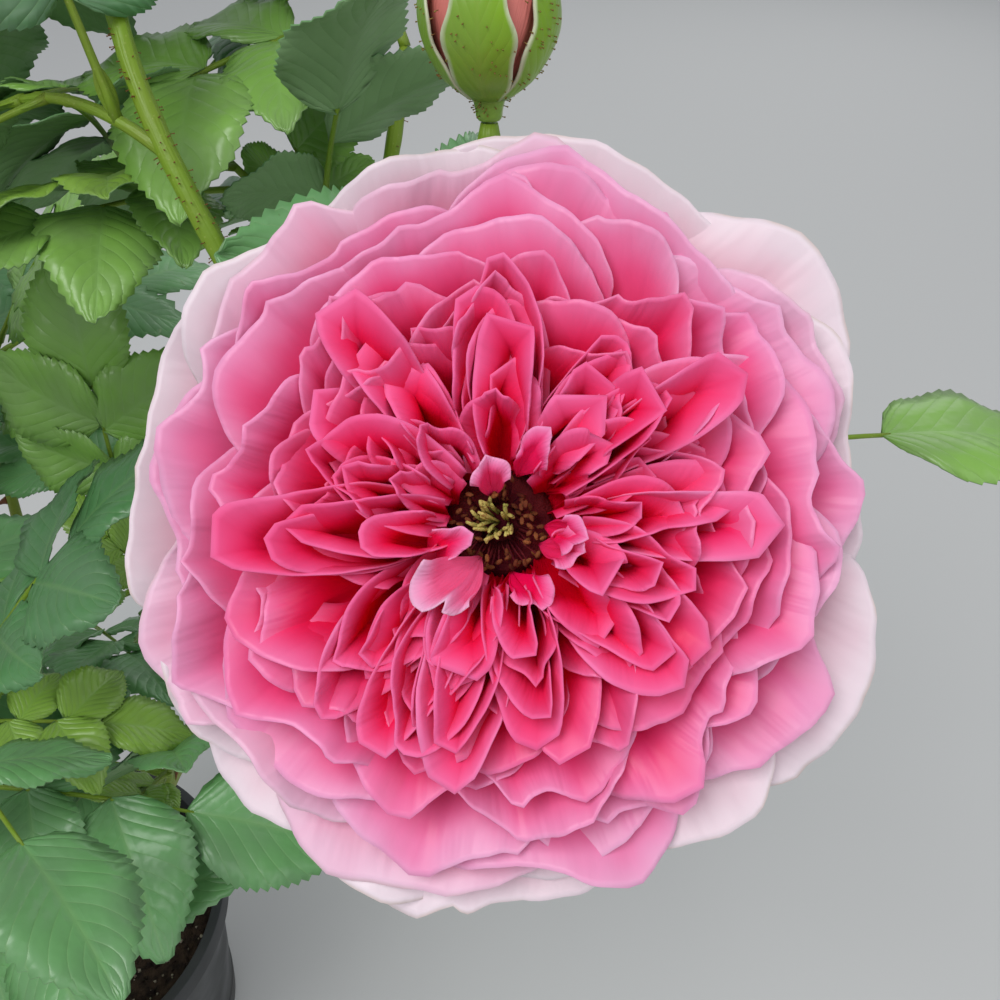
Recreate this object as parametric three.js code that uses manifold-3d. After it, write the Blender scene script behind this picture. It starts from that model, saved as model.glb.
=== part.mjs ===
// A shrub rose in full leaf, growing in its black nursery pot: one large quartered bloom that faces
// forward and up at 45 degrees, one fat bud behind it, and arching green canes from a woody crown.
// Millimetres, +Z up. The origin is the centre of the pot's flat underside.
// Each bough is one tapering limb. Each mass of foliage is one stem with compound leaves that a
// seeded rule sets round it, fused into one solid.

import * as THREE from 'three';
import { mergeVertices } from 'three/addons/utils/BufferGeometryUtils.js';
import Module from 'manifold-3d';

const wasm = await Module();
wasm.setup();

// General sizes
const SEAT = 0.3; // clearance between two pieces that touch
const TURN = Math.PI * 2;
const EDGE_THINNING = 0.4; // how much thinner a petal or sepal is at its edge
const LEAF_TURN = (TURN * 2) / 5; // a rose sets five leaves in two turns of the stem

// Pot
const POT_HEIGHT = 165;
const POT_RIM_RADIUS = 90;
const POT_FOOT_RADIUS = 66;
const POT_WALL = 2.2;
const POT_FLOOR = 3;
const RIM_BAND_HEIGHT = 15;
const RIM_OVERHANG = 3.6;
const RIM_LIP = 1.2; // small bevel on the rim's edges
const POT_SIDES = 36;
const DRAIN_HOLES = 8;
const DRAIN_RADIUS = 4.5;
const DRAIN_RING = 50;
const DRAIN_SIDES = 8;

// Potting mix: it fills the pot to a little below the rim and rises towards the crown
const MIX_EDGE_HEIGHT = 147;
const MIX_MOUND = 5;
const MIX_FLAT_RADIUS = 20;
const MIX_SHOULDER_RADIUS = 54;

// Crown: the woody knob where the canes start, flared where it meets the potting mix
const CROWN_FOOT_RADIUS = 17;
const CROWN_WAIST_RADIUS = 11;
const CROWN_KNOB_RADIUS = 13.5;
const CROWN_HEIGHT = 30;
const CROWN_SIDES = 12;
const CROWN_LUMPS = 0.09; // how far its lumps stand out, as a share of its radius
const CROWN_BASE = MIX_EDGE_HEIGHT + MIX_MOUND + SEAT;

// Bloom, in its own frame: z is the way it faces, y is up the face, x is to the right
const BLOOM_CENTRE = [250, -130, 619];
const BLOOM_TILT = Math.PI / 4;
const BLOOM_BASE = -31; // depth of the petals' claws behind the plane of the outline
const PETAL_THICK = 1.1;
const CLAW_RADIUS = 5;

// Rings of petals from the back to the heart: how many, reach of the tip, depth of the claw, height
// of the tip, half width, cup (how far out the profile bends before it rises), and first turn
const PETAL_RINGS = [
  { count: 7, reach: 63, claw: -31, height: -11, half: 31, cup: 0.62, first: 0.35 },
  { count: 7, reach: 58, claw: -28, height: -4, half: 28, cup: 0.74, first: 0.1 },
  { count: 7, reach: 51, claw: -24, height: 2, half: 21, cup: 0.84, first: 0.5 },
  { count: 6, reach: 43, claw: -19, height: 8, half: 16, cup: 0.95, first: 0.2 },
];
const PETAL_ACROSS = 3;
const PETAL_ALONG = 1;
const PETAL_START = 0.56; // the share of a petal that the heart hides
const PETAL_TILT = 2.2; // how far each petal's one side lies over its neighbour
const PETAL_WAVE = 0.8; // how far its edge waves up and down
const PETAL_CUPPING = 1.6; // how far its two sides rise
const PETAL_ROUNDING = 0.24; // how much shorter it is at its sides than in its middle
const PETAL_SCALLOP = 0.02;
const CLAW_WIDTH = 0.16; // the width of a claw as a share of the petal's
const FULL_WIDTH_AT = 0.7; // the share of its length where a petal is at full width
const HEART_RADIUS = 33;
const HEART_TOP = 8;
const HEART_RIBS = 11;
const RIB_SKEW = 0.35; // how far a folded petal of the heart turns aside, in radians
const EYE_RADIUS = 8.5;
const EYE_DEPTH = -8;

// Stamens in the eye
const STAMEN_COUNT = 9;
const STAMEN_REACH = 6.4;
const STAMEN_HEIGHT = 9;
const STYLE_RADIUS = 3.4;
const FILAMENT_RADIUS = 0.55;

// Bud
const BUD_CENTRE = [248, -56.5, 671.5];
const BUD_LEAN = [0, 0.22, 0.97];
const BUD_RADIUS = 11.4;
const BUD_LENGTH = 25;
const SEPAL_COUNT = 5;
const SEPAL_THICK = 1;
const BUD_SEPAL_STAND = 1.65; // from the bud's petals to the middle of a sepal

// Compound leaves
const LEAFLET_WIDTH = 0.68; // of its length
const LEAFLET_THICK = 1;
const LEAFLET_FOLD = 0.2; // how far each half lifts, as a share of the half width
const LEAFLET_SINK = 0.5; // how far a leaflet's root runs past the axis of its stalk
const LEAFLET_BELLY = 0.3; // where a leaflet is thickest, as a share of its length
const PAIR_STEP = 1.6; // half the distance between the two leaflets of a pair along the stalk
const RACHIS_RADIUS = 1.5;

const COLOURS = {
  pot: 0x2a2d30,
  mix: 0x2b201a,
  crown: 0x6d5a3f,
  cane: 0x7f9a2c,
  leaf: 0x4f8f4c,
  petal: 0xe8649c,
  stamen: 0xb07a2a,
  sepal: 0x86a548,
};

// A seeded number from 0 to 1 for item k
function chance(seed, k) {
  const wave = Math.sin(seed * 12.9898 + k * 78.233) * 43758.5453;
  return wave - Math.floor(wave);
}

// A seeded number from -1 to 1 for item k
function sway(seed, k) {
  return chance(seed, k) * 2 - 1;
}

function point(list) {
  return new THREE.Vector3(list[0], list[1], list[2]);
}

// A geometry from points and triangles
function shape(points, faces) {
  const made = new THREE.BufferGeometry();
  const places = points.flatMap((p) => [p.x, p.y, p.z]);
  made.setAttribute('position', new THREE.Float32BufferAttribute(places, 3));
  made.setIndex(faces.flat());
  return made;
}

// The solid of a closed geometry
function solid(geometry) {
  const bare = geometry.clone();
  bare.deleteAttribute('normal');
  bare.deleteAttribute('uv');
  const merged = mergeVertices(bare, 1e-4);
  const mesh = new wasm.Mesh({
    numProp: 3,
    vertProperties: new Float32Array(merged.attributes.position.array),
    triVerts: new Uint32Array(merged.index.array),
  });
  mesh.merge();
  return new wasm.Manifold(mesh);
}

// All the solids of a list joined into one
function join(list) {
  let rest = list;
  while (rest.length > 1) {
    const next = [];
    for (let i = 0; i < rest.length; i += 2) {
      next.push(i + 1 < rest.length ? rest[i].add(rest[i + 1]) : rest[i]);
    }
    rest = next;
  }
  return rest[0];
}

// The largest body of a solid: a loose scrap that a cut leaves is dropped
function largest(whole) {
  const bodies = whole.decompose();
  return bodies.reduce((a, b) => (a.volume() > b.volume() ? a : b));
}

// The geometry of a solid
function geometryOf(whole) {
  const mesh = whole.getMesh();
  const made = new THREE.BufferGeometry();
  made.setAttribute('position', new THREE.BufferAttribute(new Float32Array(mesh.vertProperties), 3));
  made.setIndex(new THREE.BufferAttribute(new Uint32Array(mesh.triVerts), 1));
  made.computeVertexNormals();
  return made;
}

// A round limb along a curve, with flat ends, whose radius follows radiusAt(t)
function limb(curve, radiusAt, steps, sides, grow = 0) {
  const whole = curve.getPoint(1).sub(curve.getPoint(0)).normalize();
  const guide = Math.abs(whole.y) < 0.85 ? new THREE.Vector3(0, 1, 0) : new THREE.Vector3(1, 0, 0);
  const points = [];
  const faces = [];
  for (let j = 0; j <= steps; j += 1) {
    const t = j / steps;
    const middle = curve.getPoint(t);
    const ahead = curve.getTangent(t);
    const side = new THREE.Vector3().crossVectors(guide, ahead).normalize();
    const up = new THREE.Vector3().crossVectors(ahead, side);
    const radius = radiusAt(t) + grow;
    for (let i = 0; i < sides; i += 1) {
      const turn = (i / sides) * TURN;
      points.push(
        middle
          .clone()
          .addScaledVector(side, Math.cos(turn) * radius)
          .addScaledVector(up, Math.sin(turn) * radius),
      );
    }
  }
  for (let j = 0; j < steps; j += 1) {
    for (let i = 0; i < sides; i += 1) {
      const a = j * sides + i;
      const b = j * sides + ((i + 1) % sides);
      faces.push([a, b, b + sides], [a, b + sides, a + sides]);
    }
  }
  for (let i = 1; i < sides - 1; i += 1) {
    faces.push([0, i + 1, i]);
    const last = steps * sides;
    faces.push([last, last + i, last + i + 1]);
  }
  return shape(points, faces);
}

// A thin closed sheet: place(u, v) is its middle, u from -1 to 1 across and v from start to 1 along.
// It thins towards its edges.
function sheet(place, across, along, thick, start = 0) {
  const small = 1e-3;
  const front = [];
  const back = [];
  for (let j = 0; j <= along; j += 1) {
    for (let i = 0; i <= across; i += 1) {
      const u = (i / across) * 2 - 1;
      const v = start + ((1 - start) * j) / along;
      const middle = place(u, v);
      const du = place(u + small, v).sub(place(u - small, v));
      const dv = place(u, Math.min(1, v + small)).sub(place(u, Math.max(0, v - small)));
      const out = du.cross(dv).normalize();
      const half = (thick / 2) * (1 - EDGE_THINNING * Math.max(Math.abs(u), v) ** 4);
      front.push(middle.clone().addScaledVector(out, half));
      back.push(middle.clone().addScaledVector(out, -half));
    }
  }
  const row = across + 1;
  const size = row * (along + 1);
  const faces = [];
  for (let j = 0; j < along; j += 1) {
    for (let i = 0; i < across; i += 1) {
      const a = j * row + i;
      faces.push([a, a + 1, a + row + 1], [a, a + row + 1, a + row]);
      faces.push([size + a, size + a + row + 1, size + a + 1]);
      faces.push([size + a, size + a + row, size + a + row + 1]);
    }
  }
  const rim = [];
  for (let i = 0; i < across; i += 1) rim.push(i);
  for (let j = 0; j < along; j += 1) rim.push(j * row + across);
  for (let i = across; i > 0; i -= 1) rim.push(along * row + i);
  for (let j = along; j > 0; j -= 1) rim.push(j * row);
  rim.forEach((a, k) => {
    const b = rim[(k + 1) % rim.length];
    faces.push([a, size + a, size + b], [a, size + b, b]);
  });
  return shape([...front, ...back], faces);
}

// A lathe body about the Z axis from a profile of [radius, height] pairs that closes on the axis
function turned(profile, sides) {
  const made = new THREE.LatheGeometry(profile.map(([r, z]) => new THREE.Vector2(r, z)), sides);
  return made.rotateX(Math.PI / 2);
}

const nodes = []; // every finished node: its name, solid and colour

function finish(name, whole, colour) {
  nodes.push({ name, whole, colour });
  return whole;
}

// The radius of the pot's outer wall at a height
function potWall(height) {
  const slope = (POT_RIM_RADIUS - RIM_OVERHANG - POT_FOOT_RADIUS) / POT_HEIGHT;
  return POT_FOOT_RADIUS + slope * height;
}

// The pot is one turned shell with a band round its rim and drain holes cut through its floor
function makePot() {
  const band = POT_HEIGHT - RIM_BAND_HEIGHT;
  const profile = [
    [0, 0],
    [POT_FOOT_RADIUS - RIM_LIP, 0],
    [potWall(RIM_LIP), RIM_LIP],
    [potWall(band), band],
    [POT_RIM_RADIUS - RIM_LIP / 2, band],
    [POT_RIM_RADIUS, band + RIM_LIP],
    [POT_RIM_RADIUS, POT_HEIGHT - RIM_LIP],
    [POT_RIM_RADIUS - RIM_LIP, POT_HEIGHT],
    [potWall(POT_HEIGHT) - POT_WALL, POT_HEIGHT],
    [potWall(POT_FLOOR) - POT_WALL, POT_FLOOR],
    [0, POT_FLOOR],
  ];
  let whole = solid(turned(profile, POT_SIDES));
  for (let i = 0; i < DRAIN_HOLES; i += 1) {
    const turn = (i / DRAIN_HOLES) * TURN;
    const depth = POT_FLOOR * 3;
    const hole = new THREE.CylinderGeometry(DRAIN_RADIUS, DRAIN_RADIUS, depth, DRAIN_SIDES);
    hole.rotateX(Math.PI / 2);
    hole.translate(Math.cos(turn) * DRAIN_RING, Math.sin(turn) * DRAIN_RING, POT_FLOOR / 2);
    whole = whole.subtract(solid(hole));
  }
  return finish('pot', whole, COLOURS.pot);
}

// The potting mix fills the pot inside its wall and rises in a low mound to the crown
function makePottingMix() {
  const inner = (height) => potWall(height) - POT_WALL - SEAT * 1.1;
  const low = POT_FLOOR + SEAT;
  const top = MIX_EDGE_HEIGHT + MIX_MOUND;
  const profile = [
    [0, low],
    [inner(low), low],
    [inner(MIX_EDGE_HEIGHT), MIX_EDGE_HEIGHT],
    [MIX_SHOULDER_RADIUS, MIX_EDGE_HEIGHT + MIX_MOUND * 0.45],
    [MIX_FLAT_RADIUS, top],
    [0, top],
  ];
  return finish('potting_mix', solid(turned(profile, POT_SIDES)), COLOURS.mix);
}

// The crown: a flared foot, a waist and a knob that closes in to the top, grown by a little where
// a cane is to be cut clear of it
function crownSolid(grow = 0) {
  const top = CROWN_BASE + CROWN_HEIGHT;
  const profile = [
    [0, CROWN_BASE - grow],
    [CROWN_FOOT_RADIUS + grow, CROWN_BASE - grow],
    [CROWN_WAIST_RADIUS + grow, CROWN_BASE + CROWN_HEIGHT * 0.28],
    [CROWN_KNOB_RADIUS + grow, CROWN_BASE + CROWN_HEIGHT * 0.62],
    [CROWN_KNOB_RADIUS * 0.8 + grow, CROWN_BASE + CROWN_HEIGHT * 0.88],
    [CROWN_KNOB_RADIUS * 0.45 + grow, top + grow],
    [0, top + grow],
  ];
  const body = turned(profile, CROWN_SIDES);
  const spots = body.attributes.position;
  for (let i = 0; i < spots.count; i += 1) {
    const turn = Math.atan2(spots.getY(i), spots.getX(i));
    const bulge = 1 + CROWN_LUMPS * (Math.sin(turn * 3 + 0.6) + 0.55 * Math.sin(turn * 5));
    spots.setX(i, spots.getX(i) * bulge);
    spots.setY(i, spots.getY(i) * bulge);
  }
  return solid(body);
}

// Canes: four points of a cubic curve, the radius at the foot and at the tip, and the limb that
// carries the foot
const CANES = {
  cane_main: {
    on: 'crown',
    radius: [5.2, 3.4],
    path: [[8, -6, 170], [76, -22, 236], [112, 10, 395], [212, -50, 520]],
  },
  cane_side: {
    on: 'cane_main',
    radius: [3, 2.4],
    path: [[197, -44, 490], [222, -46, 570], [172, -38, 614], [159, 8, 654]],
  },
  cane_behind: {
    on: 'cane_main',
    radius: [3.2, 2.2],
    path: [[120, -8, 372], [176, 20, 470], [210, 22, 545], [222, 62, 622]],
  },
  cane_front: {
    on: 'crown',
    radius: [4.2, 2.6],
    path: [[2, -9, 168], [30, -60, 230], [22, -88, 330], [46, -78, 420]],
  },
  cane_left: {
    on: 'crown',
    radius: [4.2, 2.4],
    path: [[-8, -5, 168], [-60, -16, 230], [-92, -34, 340], [-112, -22, 450]],
  },
  cane_back: {
    on: 'crown',
    radius: [4, 2.4],
    path: [[4, 9, 168], [22, 50, 240], [6, 96, 330], [8, 122, 430]],
  },
  cane_back_left: {
    on: 'crown',
    radius: [4.4, 2.5],
    path: [[-6, 6, 168], [-32, 44, 250], [-58, 66, 380], [-64, 92, 500]],
  },
  cane_middle: {
    on: 'crown',
    radius: [4.6, 2.5],
    path: [[-1, 1, 172], [-12, 8, 290], [24, 6, 430], [14, 14, 560]],
  },
};
const CANE_SIDES = 6;
const CANE_STEPS = 8;

function curveOf(path) {
  return new THREE.CubicBezierCurve3(...path.map(point));
}

const grown = {}; // each limb made wider by the seat, to cut the pieces that meet it

// The crown and the canes, each cut clear of the limb that carries it and of those before it
function makeCanes() {
  finish('crown', crownSolid(), COLOURS.crown);
  grown.crown = crownSolid(SEAT);
  for (const [name, cane] of Object.entries(CANES)) {
    const curve = curveOf(cane.path);
    const radiusAt = (t) => THREE.MathUtils.lerp(cane.radius[0], cane.radius[1], t);
    let whole = solid(limb(curve, radiusAt, CANE_STEPS, CANE_SIDES));
    whole = largest(whole.subtract(grown[cane.on]));
    for (const other of nodes) {
      if (other.name.startsWith('cane') && other.name !== cane.on) {
        whole = largest(whole.subtract(grown[other.name]));
      }
    }
    finish(name, whole, COLOURS.cane);
    grown[name] = solid(limb(curve, radiusAt, CANE_STEPS, CANE_SIDES, SEAT));
  }
}

// The bloom's own frame, placed in the plant's frame
const bloomPlace = new THREE.Matrix4()
  .makeRotationX(BLOOM_TILT)
  .setPosition(...BLOOM_CENTRE);

function place(whole, matrix) {
  return whole.transform([...matrix.elements]);
}

// One petal. Its middle line is a curve from the claw out to the cup and on to the tip, and its
// width runs round the bloom's axis. The edge is scalloped and ends in a small point.
function petal(ring, index, seed) {
  const turn = TURN * (index / ring.count) + ring.first + 0.12 * sway(seed, index);
  const reach = ring.reach * (1 + 0.03 * sway(seed, index + 40));
  const height = ring.height + 1.5 * sway(seed, index + 80);
  const bend = [reach * ring.cup * 0.62, ring.claw + 3];
  return (u, v) => {
    const scallop = PETAL_SCALLOP * Math.cos(u * 9 + index);
    const edge = 1 - PETAL_ROUNDING * Math.abs(u) ** 2.6 + scallop;
    const t = v * edge;
    const radius = (1 - t) ** 2 * CLAW_RADIUS + 2 * (1 - t) * t * bend[0] + t * t * reach;
    const rise = (1 - t) ** 2 * ring.claw + 2 * (1 - t) * t * bend[1] + t * t * height;
    const swell = Math.sin(Math.min(1, v / FULL_WIDTH_AT) * (Math.PI / 2));
    const open = CLAW_WIDTH + (1 - CLAW_WIDTH) * swell;
    const angle = turn + (u * ring.half * open) / Math.max(radius, ring.half * 0.75);
    const wave = PETAL_WAVE * Math.sin(u * 5 + index * 1.7);
    const lift = (wave + PETAL_TILT * u + PETAL_CUPPING * u * u) * v;
    return new THREE.Vector3(Math.cos(angle) * radius, Math.sin(angle) * radius, rise + lift);
  };
}

// The bloom: a cupped heart with the rings of petals fused round it
function makeBloom() {
  const heart = [
    [0, BLOOM_BASE - 4],
    [CLAW_RADIUS + 1.5, BLOOM_BASE - 4],
    [HEART_RADIUS * 0.72, BLOOM_BASE + 4],
    [HEART_RADIUS, -13],
    [HEART_RADIUS, HEART_TOP - 8],
    [HEART_RADIUS * 0.78, HEART_TOP - 2],
    [EYE_RADIUS * 1.5, HEART_TOP - 3],
    [EYE_RADIUS, EYE_DEPTH],
    [0, EYE_DEPTH],
  ];
  const parts = [solid(turned(heart, 14))];
  PETAL_RINGS.forEach((ring, level) => {
    for (let i = 0; i < ring.count; i += 1) {
      const place = petal(ring, i, level + 1);
      parts.push(solid(sheet(place, PETAL_ACROSS, PETAL_ALONG, PETAL_THICK, PETAL_START)));
    }
  });
  // folded petals of the heart stand up from it like the ribs of a fan
  for (let i = 0; i < HEART_RIBS; i += 1) {
    const turn = (i / HEART_RIBS) * TURN + 0.2 * sway(9, i);
    const inner = EYE_RADIUS * 1.35 + 3 * chance(9, i + 30);
    const outer = HEART_RADIUS * (0.86 + 0.1 * sway(9, i + 60));
    const skew = RIB_SKEW * sway(9, i + 90);
    const rib = (u, v) => {
      const radius = THREE.MathUtils.lerp(inner, outer, (u + 1) / 2);
      const angle = turn + skew * ((u + 1) / 2) + 0.1 * v;
      const height = THREE.MathUtils.lerp(-4, HEART_TOP + 2.5 - 2 * u * u, v);
      return new THREE.Vector3(Math.cos(angle) * radius, Math.sin(angle) * radius, height);
    };
    parts.push(solid(sheet(rib, 2, 1, PETAL_THICK * 1.2)));
  }
  finish('bloom', place(largest(join(parts)), bloomPlace), COLOURS.petal);
}

// The stamens: a domed tuft of styles with a ring of filaments fused round it
function makeStamens() {
  const floor = EYE_DEPTH + SEAT;
  const dome = [
    [0, floor],
    [STYLE_RADIUS * 1.3, floor],
    [STYLE_RADIUS * 1.1, floor + STAMEN_HEIGHT * 0.45],
    [STYLE_RADIUS * 0.5, floor + STAMEN_HEIGHT * 0.75],
    [0, floor + STAMEN_HEIGHT * 0.8],
  ];
  const parts = [solid(turned(dome, 7))];
  for (let i = 0; i < STAMEN_COUNT; i += 1) {
    const turn = (i / STAMEN_COUNT) * TURN + 0.2 * sway(3, i);
    const reach = STAMEN_REACH * (0.85 + 0.15 * chance(3, i + 20));
    const height = STAMEN_HEIGHT * (0.7 + 0.3 * chance(3, i + 50));
    const way = new THREE.Vector3(Math.cos(turn), Math.sin(turn), 0);
    const foot = way.clone().multiplyScalar(STYLE_RADIUS * 0.6).setZ(floor + 1);
    const bend = way.clone().multiplyScalar(reach * 0.7).setZ(floor + height * 0.4);
    const tip = way.clone().multiplyScalar(reach).setZ(floor + height);
    const curve = new THREE.QuadraticBezierCurve3(foot, bend, tip);
    parts.push(solid(limb(curve, () => FILAMENT_RADIUS, 2, 3)));
  }
  finish('stamens', place(largest(join(parts)), bloomPlace), COLOURS.stamen);
}

// A sepal as a narrow pointed sheet that leaves the hip at foot, bends, and ends at tip. Each of
// these is a radius and a height.
function sepal(turn, foot, bend, tip, half) {
  return (u, v) => {
    const radius = (1 - v) ** 2 * foot[0] + 2 * (1 - v) * v * bend[0] + v * v * tip[0];
    const height = (1 - v) ** 2 * foot[1] + 2 * (1 - v) * v * bend[1] + v * v * tip[1];
    const width = half * (0.75 + 0.55 * Math.sin(v * Math.PI * 0.8)) * (1 - 0.88 * v ** 1.6);
    const across = u * width;
    const way = new THREE.Vector3(Math.cos(turn), Math.sin(turn), 0);
    const side = new THREE.Vector3(-Math.sin(turn), Math.cos(turn), 0);
    return way.multiplyScalar(radius).addScaledVector(side, across).setZ(height);
  };
}

// The hip under the bloom with its five sepals laid back behind the guard petals. One is longer
// and shows past the petals at the upper left.
const HIP_TOP = BLOOM_BASE - 4 - SEAT;
const HIP_LENGTH = 12;
const HIP_RADIUS = 6;
const LONG_SEPAL_TURN = 2.72;
const LONG_SEPAL_TIP = [67, -24]; // radius and height
const SHORT_SEPAL_TIP = [34, -39];
const SEPAL_HALF_WIDTH = 4;

function makeBloomCalyx() {
  const hip = [
    [0, HIP_TOP],
    [HIP_RADIUS, HIP_TOP],
    [HIP_RADIUS * 1.05, HIP_TOP - HIP_LENGTH * 0.3],
    [HIP_RADIUS * 0.8, HIP_TOP - HIP_LENGTH * 0.75],
    [HIP_RADIUS * 0.45, HIP_TOP - HIP_LENGTH],
    [0, HIP_TOP - HIP_LENGTH],
  ].reverse();
  const parts = [solid(turned(hip, 10))];
  for (let i = 0; i < SEPAL_COUNT; i += 1) {
    const turn = LONG_SEPAL_TURN + (i / SEPAL_COUNT) * TURN;
    const short = [SHORT_SEPAL_TIP[0] + 5 * chance(5, i), SHORT_SEPAL_TIP[1]];
    const tip = i === 0 ? LONG_SEPAL_TIP : short;
    const bend = [tip[0] * 0.5, HIP_TOP - 1.5];
    const blade = sepal(turn, [HIP_RADIUS * 0.5, HIP_TOP - 1], bend, tip, SEPAL_HALF_WIDTH);
    parts.push(solid(sheet(blade, 2, 3, SEPAL_THICK)));
  }
  const whole = largest(join(parts));
  finish('bloom_calyx', place(whole, bloomPlace), COLOURS.sepal);
}

// The bud's own frame
const budPlace = new THREE.Matrix4()
  .makeRotationFromQuaternion(
    new THREE.Quaternion().setFromUnitVectors(new THREE.Vector3(0, 0, 1), point(BUD_LEAN).normalize()),
  )
  .setPosition(...BUD_CENTRE);
const BUD_HIP_LENGTH = 6.5;
const BUD_FOOT = -BUD_LENGTH * 0.42;

// The bud's radius at a share t of its length from the foot
function budRadius(t) {
  return BUD_RADIUS * Math.sin(Math.PI * Math.min(1, 0.12 + 0.86 * t) ** 1.05) ** 0.62;
}

// The bud: an egg of furled petals, and the hip with five sepals that close over it
function makeBud() {
  const rings = 8;
  const egg = [[0, BUD_FOOT]];
  for (let i = 0; i <= rings; i += 1) {
    const t = i / rings;
    egg.push([budRadius(t), BUD_FOOT + t * BUD_LENGTH]);
  }
  egg.push([0, BUD_FOOT + BUD_LENGTH + 0.8]);
  const petals = solid(turned(egg, 14));
  finish('bud_petals', place(petals, budPlace), COLOURS.petal);

  const floor = BUD_FOOT - SEAT;
  const hip = [
    [0, floor - BUD_HIP_LENGTH],
    [2.6, floor - BUD_HIP_LENGTH],
    [4.6, floor - BUD_HIP_LENGTH * 0.6],
    [5.2, floor - BUD_HIP_LENGTH * 0.25],
    [budRadius(0) + 0.6, floor],
    [0, floor],
  ];
  const parts = [solid(turned(hip, 12))];
  for (let i = 0; i < SEPAL_COUNT; i += 1) {
    const turn = (i / SEPAL_COUNT) * TURN + 0.5;
    const blade = (u, v) => {
      const t = -0.1 + v * 1.16;
      const close = Math.max(0, Math.min(1, t));
      const sunk = Math.max(0, -t) * 36;
      const radius = budRadius(close) + BUD_SEPAL_STAND - sunk;
      const width = 0.6 * (1 - 0.8 * Math.max(0, v) ** 2.2);
      const angle = turn + u * width;
      const past = Math.max(0, t - 1);
      const height = BUD_FOOT + t * BUD_LENGTH + past * 22;
      return new THREE.Vector3(Math.cos(angle) * radius, Math.sin(angle) * radius, height);
    };
    parts.push(solid(sheet(blade, 3, 6, SEPAL_THICK)));
  }
  const whole = largest(join(parts));
  finish('bud_calyx', place(whole, budPlace), COLOURS.sepal);
}

// The flower stalks, from the fork at the top of the main cane to the two hips
function makeStalks() {
  const fork = point(CANES.cane_main.path[3]);
  const hipEnd = new THREE.Vector3(0, 0, HIP_TOP - HIP_LENGTH - SEAT).applyMatrix4(bloomPlace);
  const hipBack = new THREE.Vector3(0, 0, HIP_TOP - HIP_LENGTH - 26).applyMatrix4(bloomPlace);
  const budEnd = new THREE.Vector3(0, 0, BUD_FOOT - BUD_HIP_LENGTH - SEAT * 2).applyMatrix4(budPlace);
  const budBack = new THREE.Vector3(0, 0, BUD_FOOT - 60).applyMatrix4(budPlace);
  const stalks = {
    bloom_stalk: [fork, new THREE.Vector3(232, -62, 548), hipBack, hipEnd, 2.8, 2.5],
    bud_stalk: [fork, new THREE.Vector3(214, -46, 560), budBack, budEnd, 2.6, 2.2],
  };
  for (const [name, [a, b, c, d, wide, narrow]] of Object.entries(stalks)) {
    const curve = new THREE.CubicBezierCurve3(a, b, c, d);
    const radiusAt = (t) => THREE.MathUtils.lerp(wide, narrow, t);
    let whole = solid(limb(curve, radiusAt, CANE_STEPS, CANE_SIDES)).subtract(grown.cane_main);
    whole = largest(whole.subtract(grown.cane_side));
    if (grown.bloom_stalk) whole = largest(whole.subtract(grown.bloom_stalk));
    finish(name, whole, COLOURS.cane);
    grown[name] = solid(limb(curve, radiusAt, CANE_STEPS, CANE_SIDES, SEAT));
  }
}

// One leaflet as a folded eight-faced blade. Its root is sunk past the axis of the stalk.
function leaflet(root, ahead, normal, length, fat = 0) {
  const way = ahead.clone().normalize();
  const up = normal.clone().addScaledVector(way, -normal.dot(way)).normalize();
  const side = new THREE.Vector3().crossVectors(up, way);
  const half = (length * LEAFLET_WIDTH) / 2;
  const middle = root.clone().addScaledVector(way, length * 0.46);
  const belly = root.clone().addScaledVector(way, length * LEAFLET_BELLY);
  const lift = half * LEAFLET_FOLD;
  const thick = LEAFLET_THICK / 2 + fat;
  const points = [
    root.clone().addScaledVector(way, -LEAFLET_SINK),
    middle.clone().addScaledVector(side, half + fat).addScaledVector(up, lift),
    root.clone().addScaledVector(way, length + fat).addScaledVector(up, -length * 0.06),
    middle.clone().addScaledVector(side, -half - fat).addScaledVector(up, lift),
    belly.clone().addScaledVector(up, thick),
    belly.clone().addScaledVector(up, -thick),
  ];
  const faces = [];
  for (let i = 0; i < 4; i += 1) {
    const next = (i + 1) % 4;
    faces.push([next, i, 4], [i, next, 5]);
  }
  return shape(points, faces);
}

// A compound leaf from a foot: the pieces of its stalk and the places of its five leaflets
function compoundLeaf(foot, ahead, size, roll, droop) {
  const way = ahead.clone().normalize();
  const length = size * 1.5;
  const sky = new THREE.Vector3(0, 0, 1);
  let up = sky.clone().addScaledVector(way, -sky.dot(way));
  if (up.length() < 0.25) up = new THREE.Vector3(0, -1, 0).addScaledVector(way, way.y);
  up.normalize().applyAxisAngle(way, roll);
  const bend = foot.clone().addScaledVector(way, length * 0.55);
  const tip = foot.clone().addScaledVector(way, length).addScaledVector(sky, -length * droop);
  const curve = new THREE.QuadraticBezierCurve3(foot, bend, tip);
  const stalk = limb(curve, (t) => RACHIS_RADIUS * (1.1 - 0.3 * t), 2, 3);
  const blades = [];
  const pairs = [
    { at: 0.4, size: 0.74, angle: 1.16 },
    { at: 0.7, size: 0.92, angle: 1.0 },
  ];
  for (const pair of pairs) {
    for (const hand of [-1, 1]) {
      const at = pair.at + (hand * PAIR_STEP) / length;
      const root = curve.getPoint(at);
      const run = curve.getTangent(at);
      const facing = up.clone().addScaledVector(run, -up.dot(run)).normalize();
      const heading = run.clone().applyAxisAngle(facing, hand * pair.angle);
      blades.push({ root, way: heading, up: facing, size: size * pair.size });
    }
  }
  blades.push({ root: curve.getPoint(0.97), way: curve.getTangent(1), up, size });
  return { stalk, blades };
}

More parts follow.
